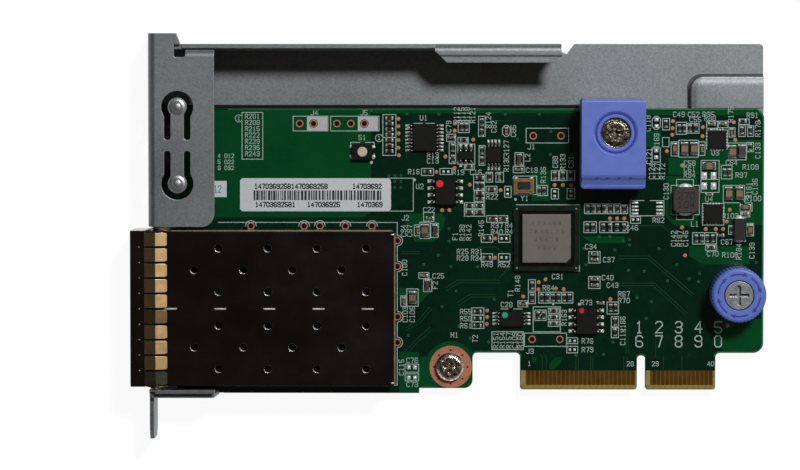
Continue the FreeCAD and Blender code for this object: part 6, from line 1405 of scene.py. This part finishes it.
class CARD_OT_printing(bpy.types.Operator):
    """Outlines and plain reference numbers printed on the board"""
    bl_idname = "card.printing"
    bl_label = "Printing on the board"

    def execute(self, context):
        low, high = above(SINK), above(SILK_HEIGHT)
        line = sizes().silk_line
        outlines = Shape()
        for layer, (start, end, top, bottom) in enumerate(OUTLINES):
            corners = [flat(start, top), flat(end, top), flat(end, bottom), flat(start, bottom)]
            outlines.ribbon(corners, line, low, high + (layer % 7) * LAYER_STEP, closed=True)
        for start, end, top, bottom in CUT_OUTLINES:
            cut = (end - start) / 3
            outlines.ribbon([flat(start + cut, top), flat(end - cut, top), flat(end, top + cut),
                flat(end, bottom - cut), flat(end - cut, bottom), flat(start + cut, bottom), flat(start, bottom - cut),
                flat(start, top + cut)], line, low, high, closed=True)
        for layer, points in enumerate(LINES):
            outlines.ribbon([flat(*point) for point in points], line, low, high - (1 + layer % 7) * LAYER_STEP)
        for along, down in CIRCLED:
            outlines.washer(flat(along, down), 0.6 * MM, 0.72 * MM, low, high)
        for along, down, radius in SILK_DOTS:
            outlines.lathe(flat(along, down), ((radius, SINK), (radius, SILK_HEIGHT)), steps=14)
        for places, start, end in ((CAGE_PINS_REAR, -math.pi / 2, math.pi / 2), (CAGE_PINS_TOP, 0.0, math.pi)):
            for place in places:
                outlines.arc(flat(*place), 0.98 * MM, line, start, end, low, high + LAYER_STEP, 14)
        outlines.finish("printed_outlines", silk_finish(), "label_paper")
        printed_fills(low, high + 8 * LAYER_STEP)
        printed_numbers(low, high)
        return {"FINISHED"}


def lead_foot(tin, lead, chips, low):
    """The pad and the toe of solder in front of one lead."""
    middle = middle_of(lead)

    def past(box):
        """How far the lead lies outside a chip, along and across the card."""
        return [abs(middle[axis] - middle_of(box)[axis]) - (box[1][axis] - box[0][axis]) / 2 for axis in (0, 1)]

    chip = min(chips, key=lambda box: max(past(box)))
    out, on = (0, 1) if past(chip)[0] > past(chip)[1] else (1, 0)
    way = Vector((0, 0))
    way[out] = math.copysign(1, middle[out] - middle_of(chip)[out])
    depth, width = (lead[1][out] - lead[0][out]) / 2, lead[1][on] - lead[0][on]
    toe = middle.xy + way * depth
    ahead, side = Vector((abs(way.x), abs(way.y))), Vector((abs(way.y), abs(way.x)))
    half = ahead * 0.45 * MM + side * (width / 2 + 0.05 * MM)
    tin.slab(toe - way * 0.12 * MM, half, low, above(0.03))
    lit = 1.0 if way.x > 0.5 or way.y > 0.5 else 0.72
    tin.dome(toe - way * 0.05 * MM, (ahead * 0.34 * MM + side * width * 0.62) * lit, low, above(0.24))
    tin.dome(middle.xy - way * (depth - 0.2 * MM), ahead * 0.16 * MM + side * width * 0.45,
        lead[1].z - 0.12 * MM, lead[1].z + 0.03 * MM)


def edge_pads(tin, node):
    """Solder showing round a chip without leads."""
    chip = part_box(node)
    centre = middle_of(chip).xy
    for way in (Vector((1, 0)), Vector((-1, 0)), Vector((0, 1)), Vector((0, -1))):
        side = sideways(way)
        depth = abs(way.x) * (chip[1].x - chip[0].x) / 2 + abs(way.y) * (chip[1].y - chip[0].y) / 2
        for index in range(-2, 3):
            face = centre + way * depth + side * index * 0.55 * MM
            tin.wedge(face - way * 0.02 * MM, way,
                ((0.0, above(0.2)), (0.12 * MM, above(0.12)), (0.3 * MM, above(0.03))), 0.26 * MM)


def fuller_beads(tin):
    """Fuller beads of solder on the inductor, the tantalum capacitor, the oscillator and the switch."""
    for node, width in (("inductor_terminals", 1.15), ("tantalum_terminals", 0.7)):
        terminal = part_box(node)
        middle = middle_of(terminal)
        for edge in (terminal[0].y, terminal[1].y):
            tin.dome((middle.x, edge), (width * MM, 0.5 * MM), above(SINK), above(0.5))
    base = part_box("oscillator_base")
    for x in (base[0].x + 0.45 * MM, base[1].x - 0.45 * MM):
        for y in (base[0].y, base[1].y):
            tin.dome((x, y), (0.4 * MM, 0.24 * MM), above(SINK), above(0.22))
    for low, high in islands("switch_terminals"):
        middle = (low + high) / 2
        tin.dome(middle.xy, (0.36 * MM, 0.3 * MM), above(SINK), above(0.2))


class CARD_OT_solder(bpy.types.Operator):
    """Solder fillets on the chip ends, pads and toes under the leads"""
    bl_idname = "card.solder"
    bl_label = "Solder"

    def execute(self, context):
        tin = Shape()
        bodies = [box for node in ("chip_resistors", "chip_capacitors", "ceramic_capacitors", "ferrite_beads")
            for box in islands(node)]
        low = above(SINK)
        reach = sizes().fillet
        margin = sizes().pad_margin
        for end_low, end_high in islands("chip_ends"):
            middle = (end_low + end_high) / 2
            body = min(bodies, key=lambda box: (middle_of(box).xy - middle.xy).length)
            way = squared(middle.xy - middle_of(body).xy)
            half = Vector(((end_high.x - end_low.x) / 2, (end_high.y - end_low.y) / 2))
            depth = abs(half.dot(way))
            face = middle.xy + way * depth
            tall = min(end_high.z - BOARD_TOP, 0.55 * MM)
            across = half.x + half.y - depth
            ahead, side = Vector((abs(way.x), abs(way.y))), Vector((abs(way.y), abs(way.x)))
            bead = ahead * reach * 0.95 + side * across * 0.86
            tin.dome(face + way * reach * 0.05, bead, low, BOARD_TOP + tall * 1.06)
            tin.slab(middle.xy + way * (reach * 0.6), half + Vector((margin, margin)), low, above(0.026))
        chips = [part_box(node) for node in LEADED_CHIPS]
        for lead in islands("chip_leads"):
            lead_foot(tin, lead, chips, low)
        for node in REGULATORS:
            edge_pads(tin, node)
        fuller_beads(tin)
        tin.finish("solder_joints", tin_finish(), "solder", smooth=True)
        return {"FINISHED"}


def first_lead_rings():
    """Moulded rings that mark the first lead."""
    shape = Shape()
    for node, share, radius in FIRST_LEADS:
        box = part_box(node)
        top = box[1].z
        shape.washer(part_way(box, share), (radius - 0.07) * MM, radius * MM, top - 0.02 * MM, top + 0.012 * MM, 20)
    shape.finish("first_lead_rings", moulding_finish(), "black_moulding")


def large_chip_marks():
    low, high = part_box("phy_lid")
    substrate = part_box("phy_substrate")
    base = substrate[1].z
    seal = Shape()
    centre = (low.xy + high.xy) / 2
    around = [centre + (corner.xy - centre) * 1.07 for corner in rectangle(low, high, 0)]
    seal.ribbon(around, 0.62 * MM, base - 0.02 * MM, base + 0.05 * MM, closed=True)
    seal.finish("lid_seal", ink_finish("black seal", 12, 8, 6, 0.03), "dark_substrate")
    dots = Shape()
    for x, y in ((0, 0), (1, 1), (0, 1), (1, 0)):
        place = (substrate[x].x + (1 - 2 * x) * 0.55 * MM, substrate[y].y + (1 - 2 * y) * 0.55 * MM)
        dots.lathe(place, ((0.17, -0.01), (0.17, 0.02)), base, 12)
    dots.finish("corner_targets", ink_finish("pale target", 128, 132, 122), "gold")
    engraving = Shape()
    for row, text in enumerate(LID_ROWS):
        place = (centre.x, high.y - (1.7 + 1.5 * row) * MM)
        engraving.words(text, place, 0.62 * MM, 0.1 * MM, high.z - 0.01 * MM, high.z + 0.003 * MM, 0.8)
    engraving.finish("lid_numbers", ink_finish("engraving", 66, 62, 57), "nickel_lid")
    coil_numbers()


def coil_numbers():
    low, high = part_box("power_inductor")
    middle = (low.xy + high.xy) / 2
    shape = Shape()
    for step, text in ((0.8, "270"), (-0.8, "104")):
        place = middle + Vector((0, step * MM))
        shape.words(text, place, 1.15 * MM, 0.2 * MM, high.z - 0.02 * MM, high.z + 0.008 * MM, 1)
    shape.finish("coil_numbers", ink_finish("coil ink", 34, 29, 26), "grey_ferrite")


class CARD_OT_marks(bpy.types.Operator):
    """Ink dots on the chips, the large chip's plain numbers and its seal"""
    bl_idname = "card.marks"
    bl_label = "Marks on the chips"

    def execute(self, context):
        for name, node, share, radius, tint in INK_DOTS:
            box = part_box(node)
            dot = Shape()
            dot.lathe(part_way(box, share), ((radius, -0.02), (radius, 0.006), (radius * 0.9, 0.014)), box[1].z, 24)
            dot.finish(name, ink_finish(f"{name} ink", *tint), "black_moulding")
        first_lead_rings()
        large_chip_marks()
        return {"FINISHED"}


def cage_rim():
    """The turned edge along the cage's back and upper side, bright where its corners are bare."""
    top = CAGE_HIGH.z - 0.08 * MM
    shape = Shape()
    shape.block(Vector((CAGE_HIGH.x - 0.05 * MM, CAGE_LOW.y + 0.3 * MM, top - 0.8 * MM)),
        Vector((CAGE_HIGH.x + 0.26 * MM, CAGE_HIGH.y - 0.3 * MM, top)), 0.08 * MM)
    shape.block(Vector((spot(4.2, 0).x, CAGE_HIGH.y - 0.05 * MM, top - 0.8 * MM)),
        Vector((CAGE_HIGH.x - 0.3 * MM, CAGE_HIGH.y + 0.24 * MM, top)), 0.08 * MM)
    shape.finish("cage_rim", finish("bare cage edge", srgb(132, 122, 96), contrast=0.2, metallic=0.6), "dark_nickel")
    corners = Shape()
    for y in (CAGE_LOW.y + 0.55 * MM, CAGE_HIGH.y - 0.55 * MM):
        corners.dome((CAGE_HIGH.x - 0.3 * MM, y), (0.4 * MM, 0.16 * MM), CAGE_HIGH.z - 0.1 * MM,
            CAGE_HIGH.z + 0.05 * MM)
    corners.finish("rim_corners", bright_nickel_finish(), "dark_nickel", smooth=True)


def nose_band():
    """A thin band round the cage's mouth, with a rolled front edge."""
    shape = Shape()
    start, end = spot(NOSE_BAND[0], 0).x, spot(NOSE_BAND[1], 0).x
    low_y, high_y = spot(0, CAGE_TOP_EDGE + CAGE_WIDTH).y, spot(0, CAGE_TOP_EDGE).y
    gauge = FINGER_GAUGE * MM

    def loop(x, grow):
        near, far, low, high = low_y - grow, high_y + grow, BOARD_TOP - grow, CAGE_HIGH.z + grow
        return [Vector((x, y, z)) for y, z in ((near, low), (far, low), (far, high), (near, high))]

    shape.loft([loop(start, 0.0), loop(start, gauge * 0.6), loop(start + gauge, gauge), loop(end, gauge),
        loop(end, 0.0)], closed=True)
    band = shape.finish("nose_band", cage_finish(), "bronze_spring")
    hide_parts("spring_collar")


def finger_height(share):
    """Height of a finger's underside above its base at a share of its length."""
    ridge = (FINGER_RIDGE - FINGER_START) / (FINGER_END - FINGER_START)
    if share < ridge:
        return FINGER_RISE * share / ridge
    return FINGER_RISE * (1 - (share - ridge) / (1 - ridge)) + 0.02


def add_finger(shape, origin, across, outward):
    """One finger from its middle line: origin on the cage, across its width and outward from the cage."""
    rings = []
    reach = (FINGER_END - FINGER_START) * MM
    gauge = outward * FINGER_GAUGE * MM
    for share in FINGER_STEPS:
        half = FINGER_WIDTH / 2 * MM
        if share > FINGER_TIP:
            half *= 0.8 + 0.2 * math.sqrt(max(0.0, 1 - ((share - FINGER_TIP) / (1 - FINGER_TIP)) ** 2))
        base = origin + Vector((reach * share, 0, 0)) + outward * (finger_height(share) * MM)
        rings.append([base - across * half, base + across * half, base + across * half + gauge,
            base - across * half + gauge])
    shape.loft(rings)


def spring_fingers():
    shape, dull, shade = Shape(), Shape(), Shape()
    start = spot(FINGER_START, 0).x
    middle = spot(0, CAGE_TOP_EDGE + CAGE_WIDTH / 2).y
    for index in range(FINGERS):
        y = middle + ((FINGERS - 1) / 2 - index) * FINGER_PITCH * MM
        row = {DULL_FINGER: dull, SHADED_FINGER: shade}.get(index, shape)
        add_finger(row, Vector((start, y, CAGE_HIGH.z)), LEFT, -DOWN)
        add_finger(shape, Vector((start, y, BOARD_TOP)), LEFT, DOWN)
    centre = (BOARD_TOP + CAGE_HIGH.z) / 2
    for index in range(SIDE_FINGERS):
        z = centre + ((SIDE_FINGERS - 1) / 2 - index) * FINGER_PITCH * MM
        for down, outward in ((CAGE_TOP_EDGE, LEFT), (CAGE_TOP_EDGE + CAGE_WIDTH, -LEFT)):
            add_finger(shape, Vector((start, spot(0, down).y, z)), -DOWN, outward)
    # Small bright nickel domes on the nose band at the finger gaps, for the hooked finger ends: painted glints.
    hooks = Shape()
    for index in range(FINGERS - 1):
        y = middle + (FINGERS / 2 - 1 - index) * FINGER_PITCH * MM
        hooks.dome((spot(HOOK_PLACE, 0).x, y), (0.14 * MM, 0.1 * MM), CAGE_HIGH.z + 0.1 * MM,
            CAGE_HIGH.z + 0.26 * MM, 10, 3)
    hooks.finish("finger_hook_glints", bright_nickel_finish(), "bronze_spring", smooth=True)
    shape.finish("spring_fingers", bronze_finish(), "bronze_spring")
    dull.finish("dull_finger", bronze_finish("dull bronze", 0.36), "bronze_spring")
    stained = finish("stained bronze", srgb(52, 54, 42), contrast=0.3, scale=900.0, smooth=0.4, rough=0.5, metallic=0.8)
    shade.finish("shaded_finger", stained, "bronze_spring")


def vent_lit_crescents():
    roof = CAGE_HIGH.z
    shape = Shape()
    for port in (1, 3):
        row = spot(0, CAGE_TOP_EDGE + port * CAGE_WIDTH / 4).y
        for column in range(4):
            x = spot(VENT_FIRST + column * VENT_PITCH, 0).x
            for place in ((x, row + VENT_SIDE * MM), (x, row - VENT_SIDE * MM), (x - VENT_PITCH / 2 * MM, row)):
                add_lit_crescent(shape, place, roof)
    # Bright nickel crescents on the lower-left of each vent: painted highlight.
    shape.finish("vent_lit_crescents", bright_nickel_finish(), "dark_nickel")


def add_lit_crescent(shape, place, roof):
    """The drawn lip of a vent, on its lower-left side where the wall faces the lamp, in bright nickel: a painted
    highlight that shows as a crescent in it.
    """
    rings = []
    for step in range(LIP_STEPS + 1):
        turn = math.radians(LIP_START + LIP_SWEEP * step / LIP_STEPS)
        thick = LIP_THICK * math.sin(math.pi * step / LIP_STEPS) ** 0.7 + 0.01
        way = heading(turn)
        outer = Vector(place) + way * (VENT_RADIUS - 0.02) * MM
        inner = Vector(place) + way * (VENT_RADIUS - thick) * MM
        rings.append([Vector((*outer, roof - 0.3 * MM)), Vector((*outer, roof - 0.04 * MM)),
            Vector((*inner, roof - 0.22 * MM))])
    shape.loft(rings)


class CARD_OT_cage(bpy.types.Operator):
    """Module cage with its spring fingers and vent lips in painted highlight, and the connectors in it"""
    bl_idname = "card.cage"
    bl_label = "Module cage"

    def execute(self, context):
        dress(cage_finish(), "cage_shell")
        dress(bright_nickel_finish(), "cage_divider")
        dress(bronze_finish(), "spring_collar")
        dress(moulding_finish(), "module_connector_upper", "module_connector_lower")
        nose_band()
        spring_fingers()
        vent_lit_crescents()
        cage_rim()
        return {"FINISHED"}


def knob_ribs(centre, deep):
    """The shaded floors of the grooves round the knob."""
    ribs = Shape()
    for index in range(KNOB_RIBS):
        turn = math.tau * (index + 0.5) / KNOB_RIBS
        way = heading(turn)
        side = sideways(way) * 0.12 * MM
        outer, inner = centre + way * RIB_OUTER * MM, centre + way * RIB_INNER * MM
        ribs.prism([inner - side, outer - side, outer + side, inner + side],
            KNOB_LOW.z + 0.8 * MM, KNOB_HIGH.z - 0.75 * MM)
    ribs.finish("knob_ribs", deep, "blue_plastic", body="thumbscrew")


def block_collar():
    """The raised ring round the screw in the block, painted shade in the groove round it, and a painted highlight on
    the edge of the recess.
    """
    block = surface_tree("guide_block")
    centre = middle_of(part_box("block_screw")).xy
    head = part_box("block_screw")[1].z
    rim = Shape()
    rim.lathe(centre, SCREW_RIM_SECTION, head, 48, closed=True)
    rim.finish("screw_rim", bpy.data.materials["bronzed screw"], "bright_screw")
    floor, top = (landing(block, (*(centre + Vector((reach * MM, 0))), 1.0)) for reach in (3.2, 4.6))
    ring = Shape()
    high = top - 0.36 * MM
    ring.loft([circle(centre, radius * MM, height, 48) for radius, height in
        ((COLLAR_IN, floor - 0.05 * MM), (COLLAR_OUT, floor - 0.05 * MM), (COLLAR_OUT, high - 0.15 * MM),
            (3.36, high), (2.88, high), (COLLAR_IN, high - 0.2 * MM))], closed=True)
    ring.finish("screw_collar", plastic_finish(), "blue_plastic", smooth=True)
    shade = Shape()
    shade.washer(centre, 3.44 * MM, 3.76 * MM, floor - 0.05 * MM, top - 0.3 * MM, 48)
    shade.finish("recess_shade", ink_finish("shaded blue", 40, 54, 142), "blue_plastic")
    # A pale blue arc on the recess's lower-left edge, which faces the lamp: painted highlight.
    edge = Shape()
    edge.arc(centre, 4.02 * MM, 0.17 * MM, math.radians(185), math.radians(262), top - 0.03 * MM,
        top + 0.012 * MM, 14)
    edge.finish("recess_edge_highlight", ink_finish("highlight blue", 112, 132, 208), "blue_plastic")


class CARD_OT_touch_points(bpy.types.Operator):
    """Blue block and thumbscrew knob, with the knob's arrows and the block's moulding marks"""
    bl_idname = "card.touch_points"
    bl_label = "Blue touch points"

    def execute(self, context):
        dress(plastic_finish(), "guide_block", "thumbscrew_knob")
        deep = ink_finish("deep blue", 46, 60, 140)
        tree = surface_tree("thumbscrew_knob")
        centre = (KNOB_LOW.xy + KNOB_HIGH.xy) / 2
        radius = ARROW_RADIUS * MM
        top = landing(tree, (*(centre + Vector((radius, 0))), KNOB_HIGH.z + MM))
        arrows = Shape()
        for index in range(ARROWS):
            start = math.tau * index / ARROWS + ARROW_START
            arrows.arc(centre, radius, ARROW_LINE * MM, start, start + ARROW_SWEEP, top - 0.05 * MM,
                top + 0.012 * MM, 8)
            tip = centre + heading(start - 0.05) * radius
            way = heading(start)
            back, half = sideways(way), way * ARROW_HALF * MM
            barbs = tip + back * ARROW_BACK * MM
            arrows.prism([barbs + half, tip, barbs - half, tip + back * ARROW_NOTCH * MM], top - 0.05 * MM,
                top + 0.014 * MM)
        arrows.finish("knob_arrows", deep, "blue_plastic", body="thumbscrew")
        knob_ribs(centre, deep)
        block_collar()
        block = surface_tree("guide_block")
        marks = Shape()
        for along in BLOCK_MARKS:
            place = spot(along, BLOCK_MARKS_DOWN, 20)
            top = landing(block, place)
            marks.dome(place.xy, (0.32 * MM, 0.26 * MM), top - 0.04 * MM, top + 0.012 * MM, 12, 3)
        marks.finish("block_marks", deep, "blue_plastic")
        low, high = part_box("guide_block")
        step = Shape()
        step.loft([[Vector((x, low.y + inward * MM, high.z - down * MM)) for inward, down in STEP_SECTION]
            for x in (low.x + 0.08 * MM, high.x - 0.08 * MM)])
        step.finish("step_fillet", plastic_finish(), "blue_plastic", smooth=True)
        return {"FINISHED"}


class CARD_OT_labels(bpy.types.Operator):
    """Paper labels with plain bars and rows of digits"""
    bl_idname = "card.labels"
    bl_label = "Labels"

    def execute(self, context):
        paper = finish("label paper", colours().paper, contrast=0.04, scale=900.0, grain_scale=12000.0, smooth=0.5,
            rough=0.62, depth=0.000002, wear_and_sheen=srgb(196, 198, 198))
        dress(paper, "board_label", "batch_label")
        chance = random.Random(sizes().seed)
        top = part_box("board_label")[1].z
        low, high = top - 0.02 * MM, top + 0.006 * MM
        shape = Shape()
        along = LABEL_START
        while along < LABEL_END - 0.4:
            width = chance.choice(BAR_WIDTHS)
            shape.block(Vector((*flat(along, BAR_FOOT), low)), Vector((*flat(along + width, BAR_TOP), high)))
            along += width + chance.choice(BAR_GAPS)
        shape.finish("label_bars", ink_finish("bar ink", 50, 50, 54, 0.05), "label_paper")
        shape = Shape()
        for middle, down, digits in LABEL_ROWS:
            text = "".join(str((3 * index + 1) % 10) for index in range(digits))
            shape.words(text, flat(middle, down), DIGIT_HEIGHT * MM, DIGIT_LINE * MM, low, high, 0.82)
        shape.finish("label_digits", ink_finish("label ink", 24, 24, 28, 0.05), "label_paper")
        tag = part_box("batch_label")
        digits = Shape()
        digits.words("12", (tag[1].x - 1.65 * MM, (tag[0].y + tag[1].y) / 2), 1.25 * MM, 0.17 * MM,
            tag[1].z - 0.02 * MM, tag[1].z + 0.006 * MM, 0.6)
        digits.finish("tag_digits", ink_finish("pale ink", 98, 106, 112, 0.05), "label_paper")
        corners = Shape()
        near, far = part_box("board_label")
        for y, way in ((near.y, 1), (far.y, -1)):
            corners.prism([(near.x, y), (near.x + 0.42 * MM, y), (near.x, y + way * 0.42 * MM)], low, high)
        corners.finish("label_corners", pour_finish(), "green_board")
        return {"FINISHED"}


OPERATORS = (CARD_OT_stage, CARD_OT_sheet_metal, CARD_OT_board, CARD_OT_chips, CARD_OT_components, CARD_OT_fixings,
    CARD_OT_copper, CARD_OT_pads, CARD_OT_printing, CARD_OT_solder, CARD_OT_marks, CARD_OT_cage,
    CARD_OT_touch_points, CARD_OT_labels)


class CARD_PT_panel(bpy.types.Panel):
    """Lists the steps that dress the card"""
    bl_idname = "CARD_PT_panel"
    bl_label = "Network card"
    bl_space_type = "VIEW_3D"
    bl_region_type = "UI"
    bl_category = "Network card"

    def draw(self, context):
        for operator in OPERATORS:
            self.layout.operator(operator.bl_idname)
        for group in (context.scene.card_sizes, context.scene.card_colours):
            for name in group.__annotations__:
                self.layout.prop(group, name)


CLASSES = (CardColours, CardSizes, *OPERATORS, CARD_PT_panel)


def register():
    for entry in CLASSES:
        bpy.utils.register_class(entry)
    bpy.types.Scene.card_colours = PointerProperty(type=CardColours)
    bpy.types.Scene.card_sizes = PointerProperty(type=CardSizes)


def unregister():
    del bpy.types.Scene.card_sizes
    del bpy.types.Scene.card_colours
    for entry in reversed(CLASSES):
        bpy.utils.unregister_class(entry)


def main():
    register()
    for operator in OPERATORS:
        getattr(bpy.ops.card, operator.bl_idname.split(".")[1])()


if __name__ == "__main__":
    main()
